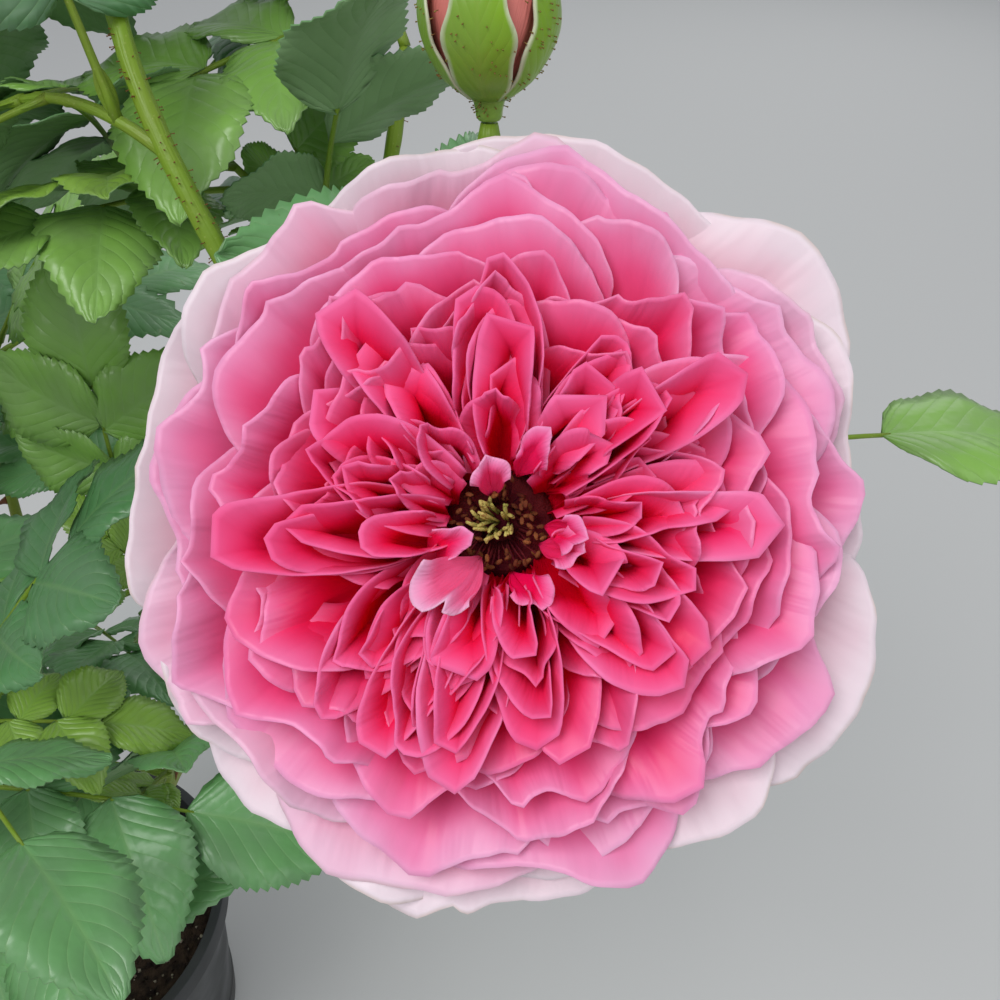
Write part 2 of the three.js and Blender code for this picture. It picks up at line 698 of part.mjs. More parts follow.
// Masses of foliage: the limb that carries the stem and the share of its length where it starts, the
// stem's bend and tip, how many compound leaves, the leaflet length, the turn of the first leaf, how
// wide the leaves stand, and the seed
const MASSES = {
  foliage_side_stalk: {
    on: 'cane_side', at: 0.78, bend: [152, -8, 640], tip: [130, 6, 630],
    leaves: 3, size: 50, first: 1.5, open: 1.0, seed: 11,
  },
  foliage_side_top: {
    on: 'cane_side', at: 1, bend: [150, 26, 682], tip: [140, 38, 700],
    leaves: 4, size: 48, first: 4.8, open: 1.45, seed: 52,
  },
  foliage_behind_top: {
    on: 'cane_behind', at: 1, bend: [216, 72, 638], tip: [202, 78, 648],
    leaves: 4, size: 52, first: 6.0, open: 1.45, seed: 93,
  },
  foliage_behind_low: {
    on: 'cane_behind', at: 0.69, bend: [184, 44, 576], tip: [164, 54, 592],
    leaves: 4, size: 52, first: 1.2, open: 1.1, seed: 14,
  },
  foliage_right: {
    on: 'cane_main', at: 0.99, bend: [242, -46, 538], tip: [272, -44, 546],
    leaves: 3, size: 56, first: 4.8, open: 1.45, seed: 55,
  },
  foliage_right_low: {
    on: 'cane_main', at: 0.85, bend: [214, -2, 462], tip: [246, 12, 468],
    leaves: 3, size: 52, first: 1.5, open: 1.1, seed: 16,
  },
  foliage_main_low: {
    on: 'cane_main', at: 0.49, bend: [108, -20, 345], tip: [114, -28, 366],
    leaves: 3, size: 48, first: 0, open: 1.0, seed: 17,
  },
  foliage_main_left: {
    on: 'cane_main', at: 0.73, bend: [112, 22, 436], tip: [92, 44, 442],
    leaves: 4, size: 50, first: 2.7, open: 1.1, seed: 18,
  },
  foliage_front_top: {
    on: 'cane_front', at: 1, bend: [60, -66, 442], tip: [72, -58, 458],
    leaves: 4, size: 56, first: 3.9, open: 1.1, seed: 99,
  },
  foliage_front_low: {
    on: 'cane_front', at: 0.67, bend: [38, -92, 346], tip: [40, -106, 356],
    leaves: 3, size: 54, first: 4.2, open: 1.0, seed: 100,
  },
  foliage_front_left: {
    on: 'cane_front', at: 0.44, bend: [-14, -86, 292], tip: [-34, -100, 300],
    leaves: 3, size: 50, first: 0.9, open: 1.1, seed: 21,
  },
  foliage_left_top: {
    on: 'cane_left', at: 1, bend: [-114, -16, 472], tip: [-112, -12, 492],
    leaves: 4, size: 50, first: 0.6, open: 1.1, seed: 22,
  },
  foliage_left_low: {
    on: 'cane_left', at: 0.63, bend: [-104, -46, 346], tip: [-116, -60, 350],
    leaves: 3, size: 48, first: 1.7, open: 1.1, seed: 23,
  },
  foliage_back_top: {
    on: 'cane_back', at: 1, bend: [14, 126, 452], tip: [26, 126, 470],
    leaves: 4, size: 50, first: 0.3, open: 1.1, seed: 104,
  },
  foliage_back_low: {
    on: 'cane_back', at: 0.55, bend: [46, 98, 326], tip: [66, 104, 332],
    leaves: 3, size: 46, first: 2.8, open: 1.1, seed: 25,
  },
  foliage_back_left_top: {
    on: 'cane_back_left', at: 1, bend: [-66, 98, 522], tip: [-64, 100, 542],
    leaves: 4, size: 50, first: 2.4, open: 1.1, seed: 26,
  },
  foliage_back_left_low: {
    on: 'cane_back_left', at: 0.64, bend: [-78, 80, 384], tip: [-92, 86, 388],
    leaves: 3, size: 48, first: 0.5, open: 1.1, seed: 27,
  },
  foliage_middle_top: {
    on: 'cane_middle', at: 1, bend: [10, 16, 584], tip: [4, 18, 606],
    leaves: 4, size: 50, first: 1.4, open: 1.1, seed: 28,
  },
  foliage_middle_low: {
    on: 'cane_middle', at: 0.7, bend: [-18, -8, 462], tip: [-34, -18, 470],
    leaves: 3, size: 48, first: 1.1, open: 1.1, seed: 29,
  },
};
const STEM_RADIUS = 1.9;
const STEM_TAPER = 0.3;
const LOWEST_AHEAD = -0.35; // the steepest way down that a leaf's stalk may point
const LEAF_CLEARANCE = 0.7;

// True where a fattened leaflet meets any finished node but the ones named
function touches(fat, except) {
  const box = fat.boundingBox();
  return nodes.some((other) => {
    if (except.includes(other.name)) return false;
    const far = other.whole.boundingBox();
    const apart = [0, 1, 2].some((k) => box.min[k] > far.max[k] || box.max[k] < far.min[k]);
    return !apart && !fat.intersect(other.whole).isEmpty();
  });
}

// One mass of foliage: a stem with compound leaves set round it. A stalk or leaflet that would
// touch a limb or another mass is skipped.
function makeMass(name, mass) {
  const carrier = curveOf(CANES[mass.on].path);
  const from = carrier.getPoint(mass.at);
  if (mass.at === 1) from.addScaledVector(carrier.getTangent(1), SEAT);
  const curve = new THREE.QuadraticBezierCurve3(from, point(mass.bend), point(mass.tip));
  const stem = limb(curve, (t) => STEM_RADIUS * (1 - STEM_TAPER * t), 2, 4);
  const parts = [solid(stem)];
  for (let i = 0; i < mass.leaves; i += 1) {
    const last = i === mass.leaves - 1;
    const at = THREE.MathUtils.lerp(0.3, 0.98, i / (mass.leaves - 1));
    const foot = curve.getPoint(at);
    const run = curve.getTangent(at);
    const across = new THREE.Vector3(0, 0, 1).cross(run).normalize();
    across.applyAxisAngle(run, mass.first + LEAF_TURN * i + 0.3 * sway(mass.seed, i));
    const open = last ? 0 : mass.open;
    const ahead = run.clone().multiplyScalar(Math.cos(open)).addScaledVector(across, Math.sin(open));
    ahead.z = Math.max(ahead.z, LOWEST_AHEAD);
    const size = mass.size * (1 + 0.1 * sway(mass.seed, i + 20));
    const roll = 0.35 * sway(mass.seed, i + 40);
    const leaf = compoundLeaf(foot, ahead, size, roll, 0.1 + 0.12 * chance(mass.seed, i + 60));
    if (touches(solid(leaf.stalk), [mass.on])) continue;
    parts.push(solid(leaf.stalk));
    for (const blade of leaf.blades) {
      const fat = solid(leaflet(blade.root, blade.way, blade.up, blade.size, LEAF_CLEARANCE));
      if (touches(fat, [])) continue;
      parts.push(solid(leaflet(blade.root, blade.way, blade.up, blade.size)));
    }
  }
  let whole = join(parts);
  for (const limbName of Object.keys(grown)) {
    whole = whole.subtract(grown[limbName]);
  }
  whole = largest(whole);
  finish(name, whole, COLOURS.leaf);
}

makePot();
makePottingMix();
makeCanes();
makeStalks();
makeBloom();
makeStamens();
makeBloomCalyx();
makeBud();
for (const [name, mass] of Object.entries(MASSES)) {
  makeMass(name, mass);
}

const rose = new THREE.Group();
for (const { name, whole, colour } of nodes) {
  const made = geometryOf(whole);
  const material = new THREE.MeshStandardMaterial({ color: colour, roughness: 0.6, metalness: 0 });
  const mesh = new THREE.Mesh(made, material);
  mesh.name = name;
  rose.add(mesh);
}

export default rose;
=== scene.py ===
"""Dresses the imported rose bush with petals, leaves, canes, bud, crown, pot and potting mix.

Sizes are in millimetres in the plant's own frame and become metres when a mesh is made. A seeded
rule, the same as in the part's source, sets the compound leaves round their stems.
"""

import logging
import math
from collections.abc import Sequence
from dataclasses import dataclass, field
from enum import Enum

import bpy
import numpy as np
from mathutils import Matrix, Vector
from mathutils.bvhtree import BVHTree


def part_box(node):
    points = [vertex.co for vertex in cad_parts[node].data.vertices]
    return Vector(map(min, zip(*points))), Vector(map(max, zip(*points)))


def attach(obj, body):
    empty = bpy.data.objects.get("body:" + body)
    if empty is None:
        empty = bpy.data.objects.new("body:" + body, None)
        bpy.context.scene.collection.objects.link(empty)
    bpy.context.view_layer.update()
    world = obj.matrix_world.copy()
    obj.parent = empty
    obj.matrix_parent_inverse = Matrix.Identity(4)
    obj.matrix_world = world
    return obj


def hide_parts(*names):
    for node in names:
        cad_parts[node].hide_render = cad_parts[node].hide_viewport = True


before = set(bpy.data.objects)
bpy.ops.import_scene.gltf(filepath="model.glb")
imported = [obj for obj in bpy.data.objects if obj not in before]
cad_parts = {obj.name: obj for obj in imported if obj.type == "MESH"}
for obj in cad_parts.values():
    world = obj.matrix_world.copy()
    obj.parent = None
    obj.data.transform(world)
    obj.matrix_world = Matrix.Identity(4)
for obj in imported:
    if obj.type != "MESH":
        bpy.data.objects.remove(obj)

log = logging.getLogger("rose_bush")
Array = np.ndarray
Colour = tuple[float, float, float]
METRE = 0.001
TURN = 2 * math.pi
SKY = np.array([0.0, 0.0, 1.0])
# The turns from one leaf to the next round a stem, and from one petal to the next in the spiral.
LEAF_TURN = TURN * 2 / 5
GOLDEN_TURN = TURN * 0.381966
# The share of a turn from one stamen, style or gland to the next.
SUNFLOWER = 0.618
# For each pair of leaflets its share of the stalk, its size by the end leaflet's, and its angle.
LEAFLET_PAIRS = ((0.4, 0.74, 1.16), (0.7, 0.92, 1.0))
# The gap between a stalk and its hip, and between the bud's hip and its petals.
SEAT = 0.3


def chance(seed: float, k: Array | float) -> Array | float:
    """Seeded numbers from 0 to 1: the fraction left over from a large multiple of a sine.

    Args:
        seed: the number of the series.
        k: the item, or an array of items.

    Returns:
        One number for each item.
    """
    wave = np.sin(seed * 12.9898 + np.asarray(k) * 78.233) * 43758.5453
    return wave - np.floor(wave)


def sway(seed: float, k: Array | float) -> Array | float:
    """Seeded numbers from -1 to 1."""
    return chance(seed, k) * 2 - 1


def varied(table: dict[str, tuple[float, float, float]], k: float) -> dict[str, float]:
    """Measures that differ from item to item.

    Args:
        table: for each measure its middle, its spread either way, and the number of its series.
        k: the item.

    Returns:
        The item's own measures.
    """
    return {label: middle + spread * sway(seed, k) for label, (middle, spread, seed) in table.items()}


def unit(vectors: Array) -> Array:
    """Vectors scaled to a length of one along the last axis."""
    length = np.linalg.norm(vectors, axis=-1, keepdims=True)
    return vectors / np.maximum(length, 1e-9)


def spun(vector: Array, axis: Array, angle: float) -> Array:
    """A vector turned about a unit axis by an angle, by Rodrigues' formula."""
    along = axis * np.dot(axis, vector)
    return along + (vector - along) * math.cos(angle) + np.cross(axis, vector) * math.sin(angle)


def bezier(points: Sequence[Sequence[float]], t: Array | float) -> Array:
    """Points of a Bezier curve: each level is the blend of its two neighbours by t.

    Args:
        points: three or four control points.
        t: shares of the curve from 0 to 1.

    Returns:
        One point for each share.
    """
    share = np.atleast_1d(np.asarray(t, float))[:, None]
    level = [np.repeat(np.asarray(p, float)[None], len(share), 0) for p in points]
    while len(level) > 1:
        level = [a * (1 - share) + b * share for a, b in zip(level, level[1:])]
    return level[0]


def heading(points: Sequence[Sequence[float]], t: float) -> Array:
    """The unit tangent of a Bezier curve at a share t."""
    low, high = max(0.0, t - 1e-3), min(1.0, t + 1e-3)
    return unit(bezier(points, high)[0] - bezier(points, low)[0])


@dataclass
class Skin:
    """A closed surface: its points, faces, place on its own map, and two marks for the materials.

    tone runs from 0 to 1 by petal or leaf, and under is 1 on an underside.
    """

    points: Array
    faces: list[Array]
    uv: Array
    tone: Array
    under: Array

    @staticmethod
    def joined(skins: Sequence["Skin"]) -> "Skin":
        """All the skins of a list in one, with the faces' indices moved on."""
        starts = np.cumsum([0] + [len(s.points) for s in skins])
        faces = [f + start for s, start in zip(skins, starts) for f in s.faces]
        parts = zip(*((s.points, s.uv, s.tone, s.under) for s in skins))
        points, uv, tone, under = (np.concatenate(part) for part in parts)
        return Skin(points, faces, uv, tone, under)

    @property
    def face_count(self) -> int:
        """How many faces it has."""
        return sum(len(f) for f in self.faces)

    def moved(self, matrix: Array) -> "Skin":
        """The skin carried by a 4 by 4 matrix."""
        points = self.points @ matrix[:3, :3].T + matrix[:3, 3]
        return Skin(points, self.faces, self.uv, self.tone, self.under)

    def mesh(self, name: str, kinds: Array) -> bpy.types.Mesh:
        """A Blender mesh of the skin in metres.

        Args:
            name: the mesh's name.
            kinds: the material number of each face, in the faces' order.

        Returns:
            The mesh, smooth shaded, with its map and marks.
        """
        mesh = bpy.data.meshes.new(name)
        corners = np.concatenate([f.ravel() for f in self.faces])
        counts = np.concatenate([np.full(len(f), f.shape[1]) for f in self.faces])
        mesh.vertices.add(len(self.points))
        mesh.vertices.foreach_set("co", (self.points * METRE).astype(np.float32).ravel())
        mesh.loops.add(len(corners))
        mesh.loops.foreach_set("vertex_index", corners.astype(np.int32))
        mesh.polygons.add(len(counts))
        starts = np.concatenate([[0], np.cumsum(counts)[:-1]])
        mesh.polygons.foreach_set("loop_start", starts.astype(np.int32))
        mesh.polygons.foreach_set("use_smooth", np.ones(len(counts), bool))
        mesh.polygons.foreach_set("material_index", kinds.astype(np.int32))
        layer = mesh.uv_layers.new(name="map")
        layer.data.foreach_set("uv", self.uv[corners].astype(np.float32).ravel())
        for label, values in (("tone", self.tone), ("under", self.under)):
            mark = mesh.attributes.new(label, "FLOAT", "POINT")
            mark.data.foreach_set("value", values.astype(np.float32))
        mesh.update(calc_edges=True)
        mesh.validate()
        return mesh


def about_axis(out: Array, side: Array | float, angle: Array | float, up: Array | float) -> Array:
    """Points given by how far out and aside they lie, the angle of their way out, and their height.

    Returns:
        The points, with x, y and z along the last axis.
    """
    x = out * np.cos(angle) - side * np.sin(angle)
    y = out * np.sin(angle) + side * np.cos(angle)
    return np.stack(np.broadcast_arrays(x, y, up), axis=-1)


def round_turn(sides: int) -> Array:
    """The angles of evenly spaced points round a ring."""
    return np.arange(sides) / sides * TURN


def sheet_map(rows: int, columns: int) -> tuple[Array, Array]:
    """A sheet's own map: v from 0 to 1 down its rows, and u from -1 to 1 across its columns."""
    return np.linspace(0, 1, rows)[:, None], np.linspace(-1, 1, columns)[None]


def grid_faces(rows: int, columns: int, ring: bool = False) -> Array:
    """Quads of a grid of points, row by row.

    Args:
        rows: how many rows of points.
        columns: how many points in a row.
        ring: whether the last column joins the first.

    Returns:
        Four point numbers for each quad.
    """
    wide = columns if ring else columns - 1
    row, column = np.meshgrid(np.arange(rows - 1), np.arange(wide), indexing="ij")
    a = (row * columns + column).ravel()
    b = (row * columns + (column + 1) % columns).ravel()
    return np.stack([a, b, b + columns, a + columns], axis=1)


def shell(middle: Array, thick: Array | float, tone: float = 0.0) -> Skin:
    """A thin closed sheet: a grid of middle points pushed half its thickness to both sides.

    The normal at a point is the cross product of the grid's two directions there.

    Args:
        middle: rows by columns by 3, along the sheet and across it.
        thick: its thickness, everywhere or for each point.
        tone: the mark that the material reads.

    Returns:
        The closed skin, with across and along as its map.
    """
    rows, columns = middle.shape[:2]
    out = unit(np.cross(np.gradient(middle, axis=1), np.gradient(middle, axis=0)))
    half = np.broadcast_to(np.asarray(thick, float) / 2, (rows, columns))[..., None]
    top = (middle + out * half).reshape(-1, 3)
    bottom = (middle - out * half).reshape(-1, 3)
    size = rows * columns
    quads = grid_faces(rows, columns)
    number = np.arange(size).reshape(rows, columns)
    edge = np.concatenate(
        [number[0, :-1], number[:-1, -1], number[-1, :0:-1], number[:0:-1, 0]]
    )
    ahead = np.roll(edge, -1)
    wall = np.stack([edge + size, ahead + size, ahead, edge], axis=1)
    v, u = np.meshgrid(np.linspace(0, 1, rows), np.linspace(0, 1, columns), indexing="ij")
    uv = np.stack([u.ravel(), v.ravel()], axis=1)
    return Skin(
        np.concatenate([top, bottom]),
        [quads, quads[:, ::-1] + size, wall],
        np.concatenate([uv, uv]),
        np.full(2 * size, tone),
        np.repeat([0.0, 1.0], size),
    )


def ringed(rings: Array, foot: Array, tip: Array, tone: float = 0.0) -> Skin:
    """A closed body of rings of points, with one more point at each end.

    Args:
        rings: rings by sides by 3.
        foot: the point that closes the first ring.
        tip: the point that closes the last ring.
        tone: the mark that the material reads.

    Returns:
        The closed skin, with round and along as its map.
    """
    rows, sides = rings.shape[:2]
    size = rows * sides
    first = np.arange(sides)
    after = (first + 1) % sides
    last = size - sides
    low = np.stack([np.full(sides, size), after, first], axis=1)
    high = np.stack([np.full(sides, size + 1), first + last, after + last], axis=1)
    along, round_ = np.meshgrid(np.linspace(0, 1, rows), first / sides, indexing="ij")
    uv = np.stack([round_.ravel(), along.ravel()], axis=1)
    points = np.concatenate([rings.reshape(-1, 3), [foot, tip]])
    return Skin(
        points,
        [grid_faces(rows, sides, ring=True), low, high],
        np.concatenate([uv, [[0.5, 0.0], [0.5, 1.0]]]),
        np.full(len(points), tone),
        np.zeros(len(points)),
    )


def tube(path: Array, radii: Array, sides: int, tone: float = 0.0) -> Skin:
    """A round limb: rings of points about a path, closed by a point at each end.

    Each ring lies square to the path, and its radius may change round it.

    Args:
        path: stations by 3.
        radii: one radius for each station, or stations by sides.
        sides: points in a ring.
        tone: the mark that the material reads.

    Returns:
        The closed skin.
    """
    ahead = unit(np.gradient(path, axis=0))
    steep = abs(unit(path[-1] - path[0])[1]) >= 0.85
    side = unit(np.cross([1.0, 0.0, 0.0] if steep else [0.0, 1.0, 0.0], ahead))
    up = np.cross(ahead, side)
    turn = round_turn(sides)
    radius = np.asarray(radii, float)
    radius = radius[:, None] if radius.ndim == 1 else radius
    rings = (
        path[:, None]
        + side[:, None] * (np.cos(turn) * radius)[..., None]
        + up[:, None] * (np.sin(turn) * radius)[..., None]
    )
    return ringed(rings, path[0], path[-1], tone)


def lathe(profile: Array, sides: int, lumps: Array | float = 1.0) -> Skin:
    """A turned body: a profile of radius and height carried round the upright axis.

    Args:
        profile: points by 2, from the axis at the foot to the axis at the top.
        sides: points in a ring.
        lumps: a factor on the radius, rings by sides.

    Returns:
        The closed skin, whose two ends are single points on the axis.
    """
    radius = profile[1:-1, :1] * (np.ones((1, sides)) * lumps)
    rings = about_axis(radius, 0.0, round_turn(sides), profile[1:-1, 1:])
    return ringed(rings, SKY * profile[0, 1], SKY * profile[-1, 1])


def smoothed(profile: Sequence[Sequence[float]], steps: int) -> Array:
    """A profile with its corners eased by Chaikin's cuts, a quarter in from each end of a side.

    Args:
        profile: points of radius and height whose two ends lie on the axis.
        steps: how many times the corners are cut.

    Returns:
        The eased profile with the same ends.
    """
    line = np.asarray(profile, float)
    for _ in range(steps):
        near = line[:-1] * 0.75 + line[1:] * 0.25
        far = line[:-1] * 0.25 + line[1:] * 0.75
        cut = np.stack([near, far], axis=1).reshape(-1, line.shape[1])
        line = np.concatenate([line[:1], cut[1:-1], line[-1:]])
    return line


def grains(places: Array, sizes: Array, seed: int) -> Skin:
    """Small angular crumbs: octahedra whose six corners are each pulled in or out.

    Args:
        places: the crumbs' middles.
        sizes: their half sizes.
        seed: the seed of their shapes and turns.

    Returns:
        All the crumbs in one skin.
    """
    belt = [[1, 0, 0], [0, 1, 0], [-1, 0, 0], [0, -1, 0]]
    corners = np.array([*belt, [0, 0, 1], [0, 0, -1]], float)
    above = [[0, 1, 4], [1, 2, 4], [2, 3, 4], [3, 0, 4]]
    below = [[1, 0, 5], [2, 1, 5], [3, 2, 5], [0, 3, 5]]
    item = np.arange(len(places))[:, None]
    pull = 0.65 + 0.6 * chance(seed, item * 6 + np.arange(6) + 500)
    x, y, z = np.moveaxis(corners * pull[..., None] * np.asarray(sizes)[:, None, None], 2, 0)
    turn = chance(seed, item + 90) * TURN
    tilt = chance(seed, item + 70) * TURN
    x, y = x * np.cos(turn) - y * np.sin(turn), x * np.sin(turn) + y * np.cos(turn)
    x, z = z * np.sin(tilt) + x * np.cos(tilt), z * np.cos(tilt) - x * np.sin(tilt)
    points = (np.stack([x, y, z], axis=-1) + places[:, None]).reshape(-1, 3)
    faces = (np.array(above + below) + item[..., None] * 6).reshape(-1, 3)
    tone = np.repeat(chance(seed, item[:, 0] + 33), 6)
    return Skin(points, [faces], points[:, :2] * 0.02, tone, np.zeros(len(points)))


class Board:
    """Lays nodes in a node tree and wires them."""

    def __init__(self, tree: bpy.types.NodeTree) -> None:
        """Keeps the tree that the nodes go in."""
        self.tree = tree

    def feed(self, node: bpy.types.Node, values: dict) -> None:
        """Sets a node's inputs, or wires them where the value is a socket."""
        for label, value in values.items():
            if isinstance(value, bpy.types.NodeSocket):
                self.tree.links.new(value, node.inputs[label])
            else:
                node.inputs[label].default_value = value

    def put(self, kind: str, values: dict | None = None, **settings) -> bpy.types.Node:
        """Adds a node, sets it up, and fills or wires its inputs.

        Args:
            kind: the node's type.
            values: for each input's name or number, a value or the socket that feeds it.
            settings: properties of the node itself.

        Returns:
            The new node.
        """
        node = self.tree.nodes.new(kind)
        for label, value in settings.items():
            setattr(node, label, value)
        self.feed(node, values or {})
        return node

    def math(self, operation: str, *values) -> bpy.types.NodeSocket:
        """The result of a Math node."""
        feeds = dict(enumerate(values))
        return self.put("ShaderNodeMath", feeds, operation=operation).outputs[0]

    def plus(self, first, second) -> bpy.types.NodeSocket:
        """The sum of two values."""
        return self.math("ADD", first, second)

    def times(self, first, second) -> bpy.types.NodeSocket:
        """The product of two values."""
        return self.math("MULTIPLY", first, second)

    def blend(self, share, first, second) -> bpy.types.NodeSocket:
        """The mix of two colours by a share."""
        feeds = {0: share, 6: opaque(first), 7: opaque(second)}
        return self.put("ShaderNodeMix", feeds, data_type="RGBA").outputs[2]

    def noise(self, vector, scale: float, detail: float = 3.0) -> bpy.types.NodeSocket:
        """A noise mask over a vector."""
        feeds = {"Vector": vector, "Scale": scale, "Detail": detail}
        return self.put("ShaderNodeTexNoise", feeds).outputs["Fac"]

    def mark(self, name: str) -> bpy.types.NodeSocket:
        """The value of one of the mesh's marks."""
        return self.put("ShaderNodeAttribute", attribute_name=name).outputs["Fac"]

    def map(self) -> bpy.types.NodeSocket:
        """The place on the mesh's own map."""
        return self.put("ShaderNodeUVMap", uv_map="map").outputs["UV"]

    def coords(self) -> bpy.types.NodeSocket:
        """The place in metres in the plant's frame."""
        return self.put("ShaderNodeTexCoord").outputs["Object"]

    def part(self, vector, axis: str) -> bpy.types.NodeSocket:
        """One coordinate of a vector."""
        return self.put("ShaderNodeSeparateXYZ", {"Vector": vector}).outputs[axis]

    def stretched(self, vector, scale: tuple) -> bpy.types.NodeSocket:
        """A vector with each coordinate multiplied."""
        feeds = {"Vector": vector, "Scale": scale}
        return self.put("ShaderNodeMapping", feeds).outputs["Vector"]

    def spread(self, value, low: float, high: float) -> bpy.types.NodeSocket:
        """A value stretched so that low becomes 0 and high becomes 1, and held there."""
        feeds = {"Value": value, "From Min": low, "From Max": high}
        return self.put("ShaderNodeMapRange", feeds, clamp=True).outputs["Result"]

    def bump(self, height, distance: float, strength: float = 1.0) -> bpy.types.NodeSocket:
        """The normal of a relief whose full height is the given distance in metres."""
        feeds = {"Height": height, "Distance": distance, "Strength": strength}
        return self.put("ShaderNodeBump", feeds).outputs["Normal"]


def opaque(colour):
    """A colour with full alpha, or the socket as it is."""
    return colour if isinstance(colour, bpy.types.NodeSocket) else (*colour, 1.0)


SOCKETS = {"Vector": "Vector", "Main": "Color", "Patch": "Color", "Color": "Color"}


def new_group(name: str, inputs: Sequence[str], outputs: Sequence[str]) -> tuple:
    """A shader node group with named sockets, which are numbers where SOCKETS doesn't say.

    Args:
        name: the group's name.
        inputs: the inputs' names.
        outputs: the outputs' names.

    Returns:
        The board to build on, what the group is given, and its output node.
    """
    tree = bpy.data.node_groups.new(name, "ShaderNodeTree")
    for way, labels in (("INPUT", inputs), ("OUTPUT", outputs)):
        for label in labels:
            kind = "NodeSocket" + SOCKETS.get(label, "Float")
            tree.interface.new_socket(label, in_out=way, socket_type=kind)
    board = Board(tree)
    return board, board.put("NodeGroupInput").outputs, board.put("NodeGroupOutput")


class SharedEffects:
    """The effects that several finishes use, each built once as a node group."""

    def __init__(self) -> None:
        """Builds the groups."""
        self.groups = {"mottle": self._mottle(), "veins": self._veins(), "grain": self._grain()}

    def use(self, effect: str, board: Board, values: dict) -> bpy.types.NodeOutputs:
        """Places an effect in a material with its own values."""
        return board.put("ShaderNodeGroup", values, node_tree=self.groups[effect]).outputs

    def mottle(
        self, board: Board, scale: float, main: Colour, patch: Colour, amount
    ) -> bpy.types.NodeOutputs:
        """Places the mottle over the plant: two colours, their scale and the second's share."""
        feeds = {"Vector": board.coords(), "Scale": scale, "Amount": amount}
        feeds |= {"Main": opaque(main), "Patch": opaque(patch)}
        return self.use("mottle", board, feeds)

    def grain(self, board: Board, scale: float) -> bpy.types.NodeSocket:
        """Places the fine grain over the plant."""
        feeds = {"Vector": board.coords(), "Scale": scale}
        return self.use("grain", board, feeds)["Height"]

    @staticmethod
    def _mottle() -> bpy.types.NodeTree:
        """Two colours mixed by soft noise, and the noise as a mask."""
        board, given, made = new_group(
            "mottle", ("Vector", "Scale", "Main", "Patch", "Amount"), ("Color", "Mask")
        )
        mask = board.spread(board.noise(given["Vector"], given["Scale"], 2.0), 0.38, 0.66)
        share = board.times(mask, given["Amount"])
        board.feed(made, {"Color": board.blend(share, given["Main"], given["Patch"]), "Mask": mask})
        return board.tree

    @staticmethod
    def _veins() -> bpy.types.NodeTree:
        """A blade's midrib and slanting side veins from its own map, with quilted cells between."""
        board, given, made = new_group(
            "blade veins", ("Vector", "Count", "Slant"), ("Vein", "Height")
        )
        centred = board.math("SUBTRACT", board.part(given["Vector"], "X"), 0.5)
        across = board.math("ABSOLUTE", board.times(centred, 2.0))
        lean = board.times(across, given["Slant"])
        along = board.math("SUBTRACT", board.part(given["Vector"], "Y"), lean)
        phase = board.times(along, given["Count"])
        swing = board.math("ABSOLUTE", board.math("SINE", board.times(phase, math.pi)))
        side_vein = board.spread(swing, 0.2, 0.0)
        midrib = board.spread(across, 0.07, 0.02)
        cells = board.math("POWER", swing, 0.6)
        height = board.times(cells, board.spread(across, 0.0, 0.12))
        board.feed(made, {"Vein": board.math("MAXIMUM", side_vein, midrib), "Height": height})
        return board.tree

    @staticmethod
    def _grain() -> bpy.types.NodeTree:
        """A fine grained relief from two scales of noise."""
        board, given, made = new_group("fine grain", ("Vector", "Scale"), ("Height",))
        coarse = board.noise(given["Vector"], given["Scale"], 1.0)
        fine = board.noise(given["Vector"], board.times(given["Scale"], 4.3), 1.0)
        board.feed(made, {"Height": board.plus(coarse, board.times(fine, 0.4))})
        return board.tree


@dataclass(frozen=True)
class Dress:
    """What every finish starts from: a material with one Principled shader."""

    name: str
    roughness: float = 0.5
    specular: float = 0.4

    def begin(self) -> tuple[bpy.types.Material, Board, bpy.types.Node]:
        """A new material, its board and its Principled shader, with the plain numbers set."""
        material = bpy.data.materials.new(self.name)
        material.use_nodes = True
        board = Board(material.node_tree)
        shader = material.node_tree.nodes["Principled BSDF"]
        plain = {"Roughness": self.roughness, "Specular IOR Level": self.specular}
        board.feed(shader, plain)
        return material, board, shader


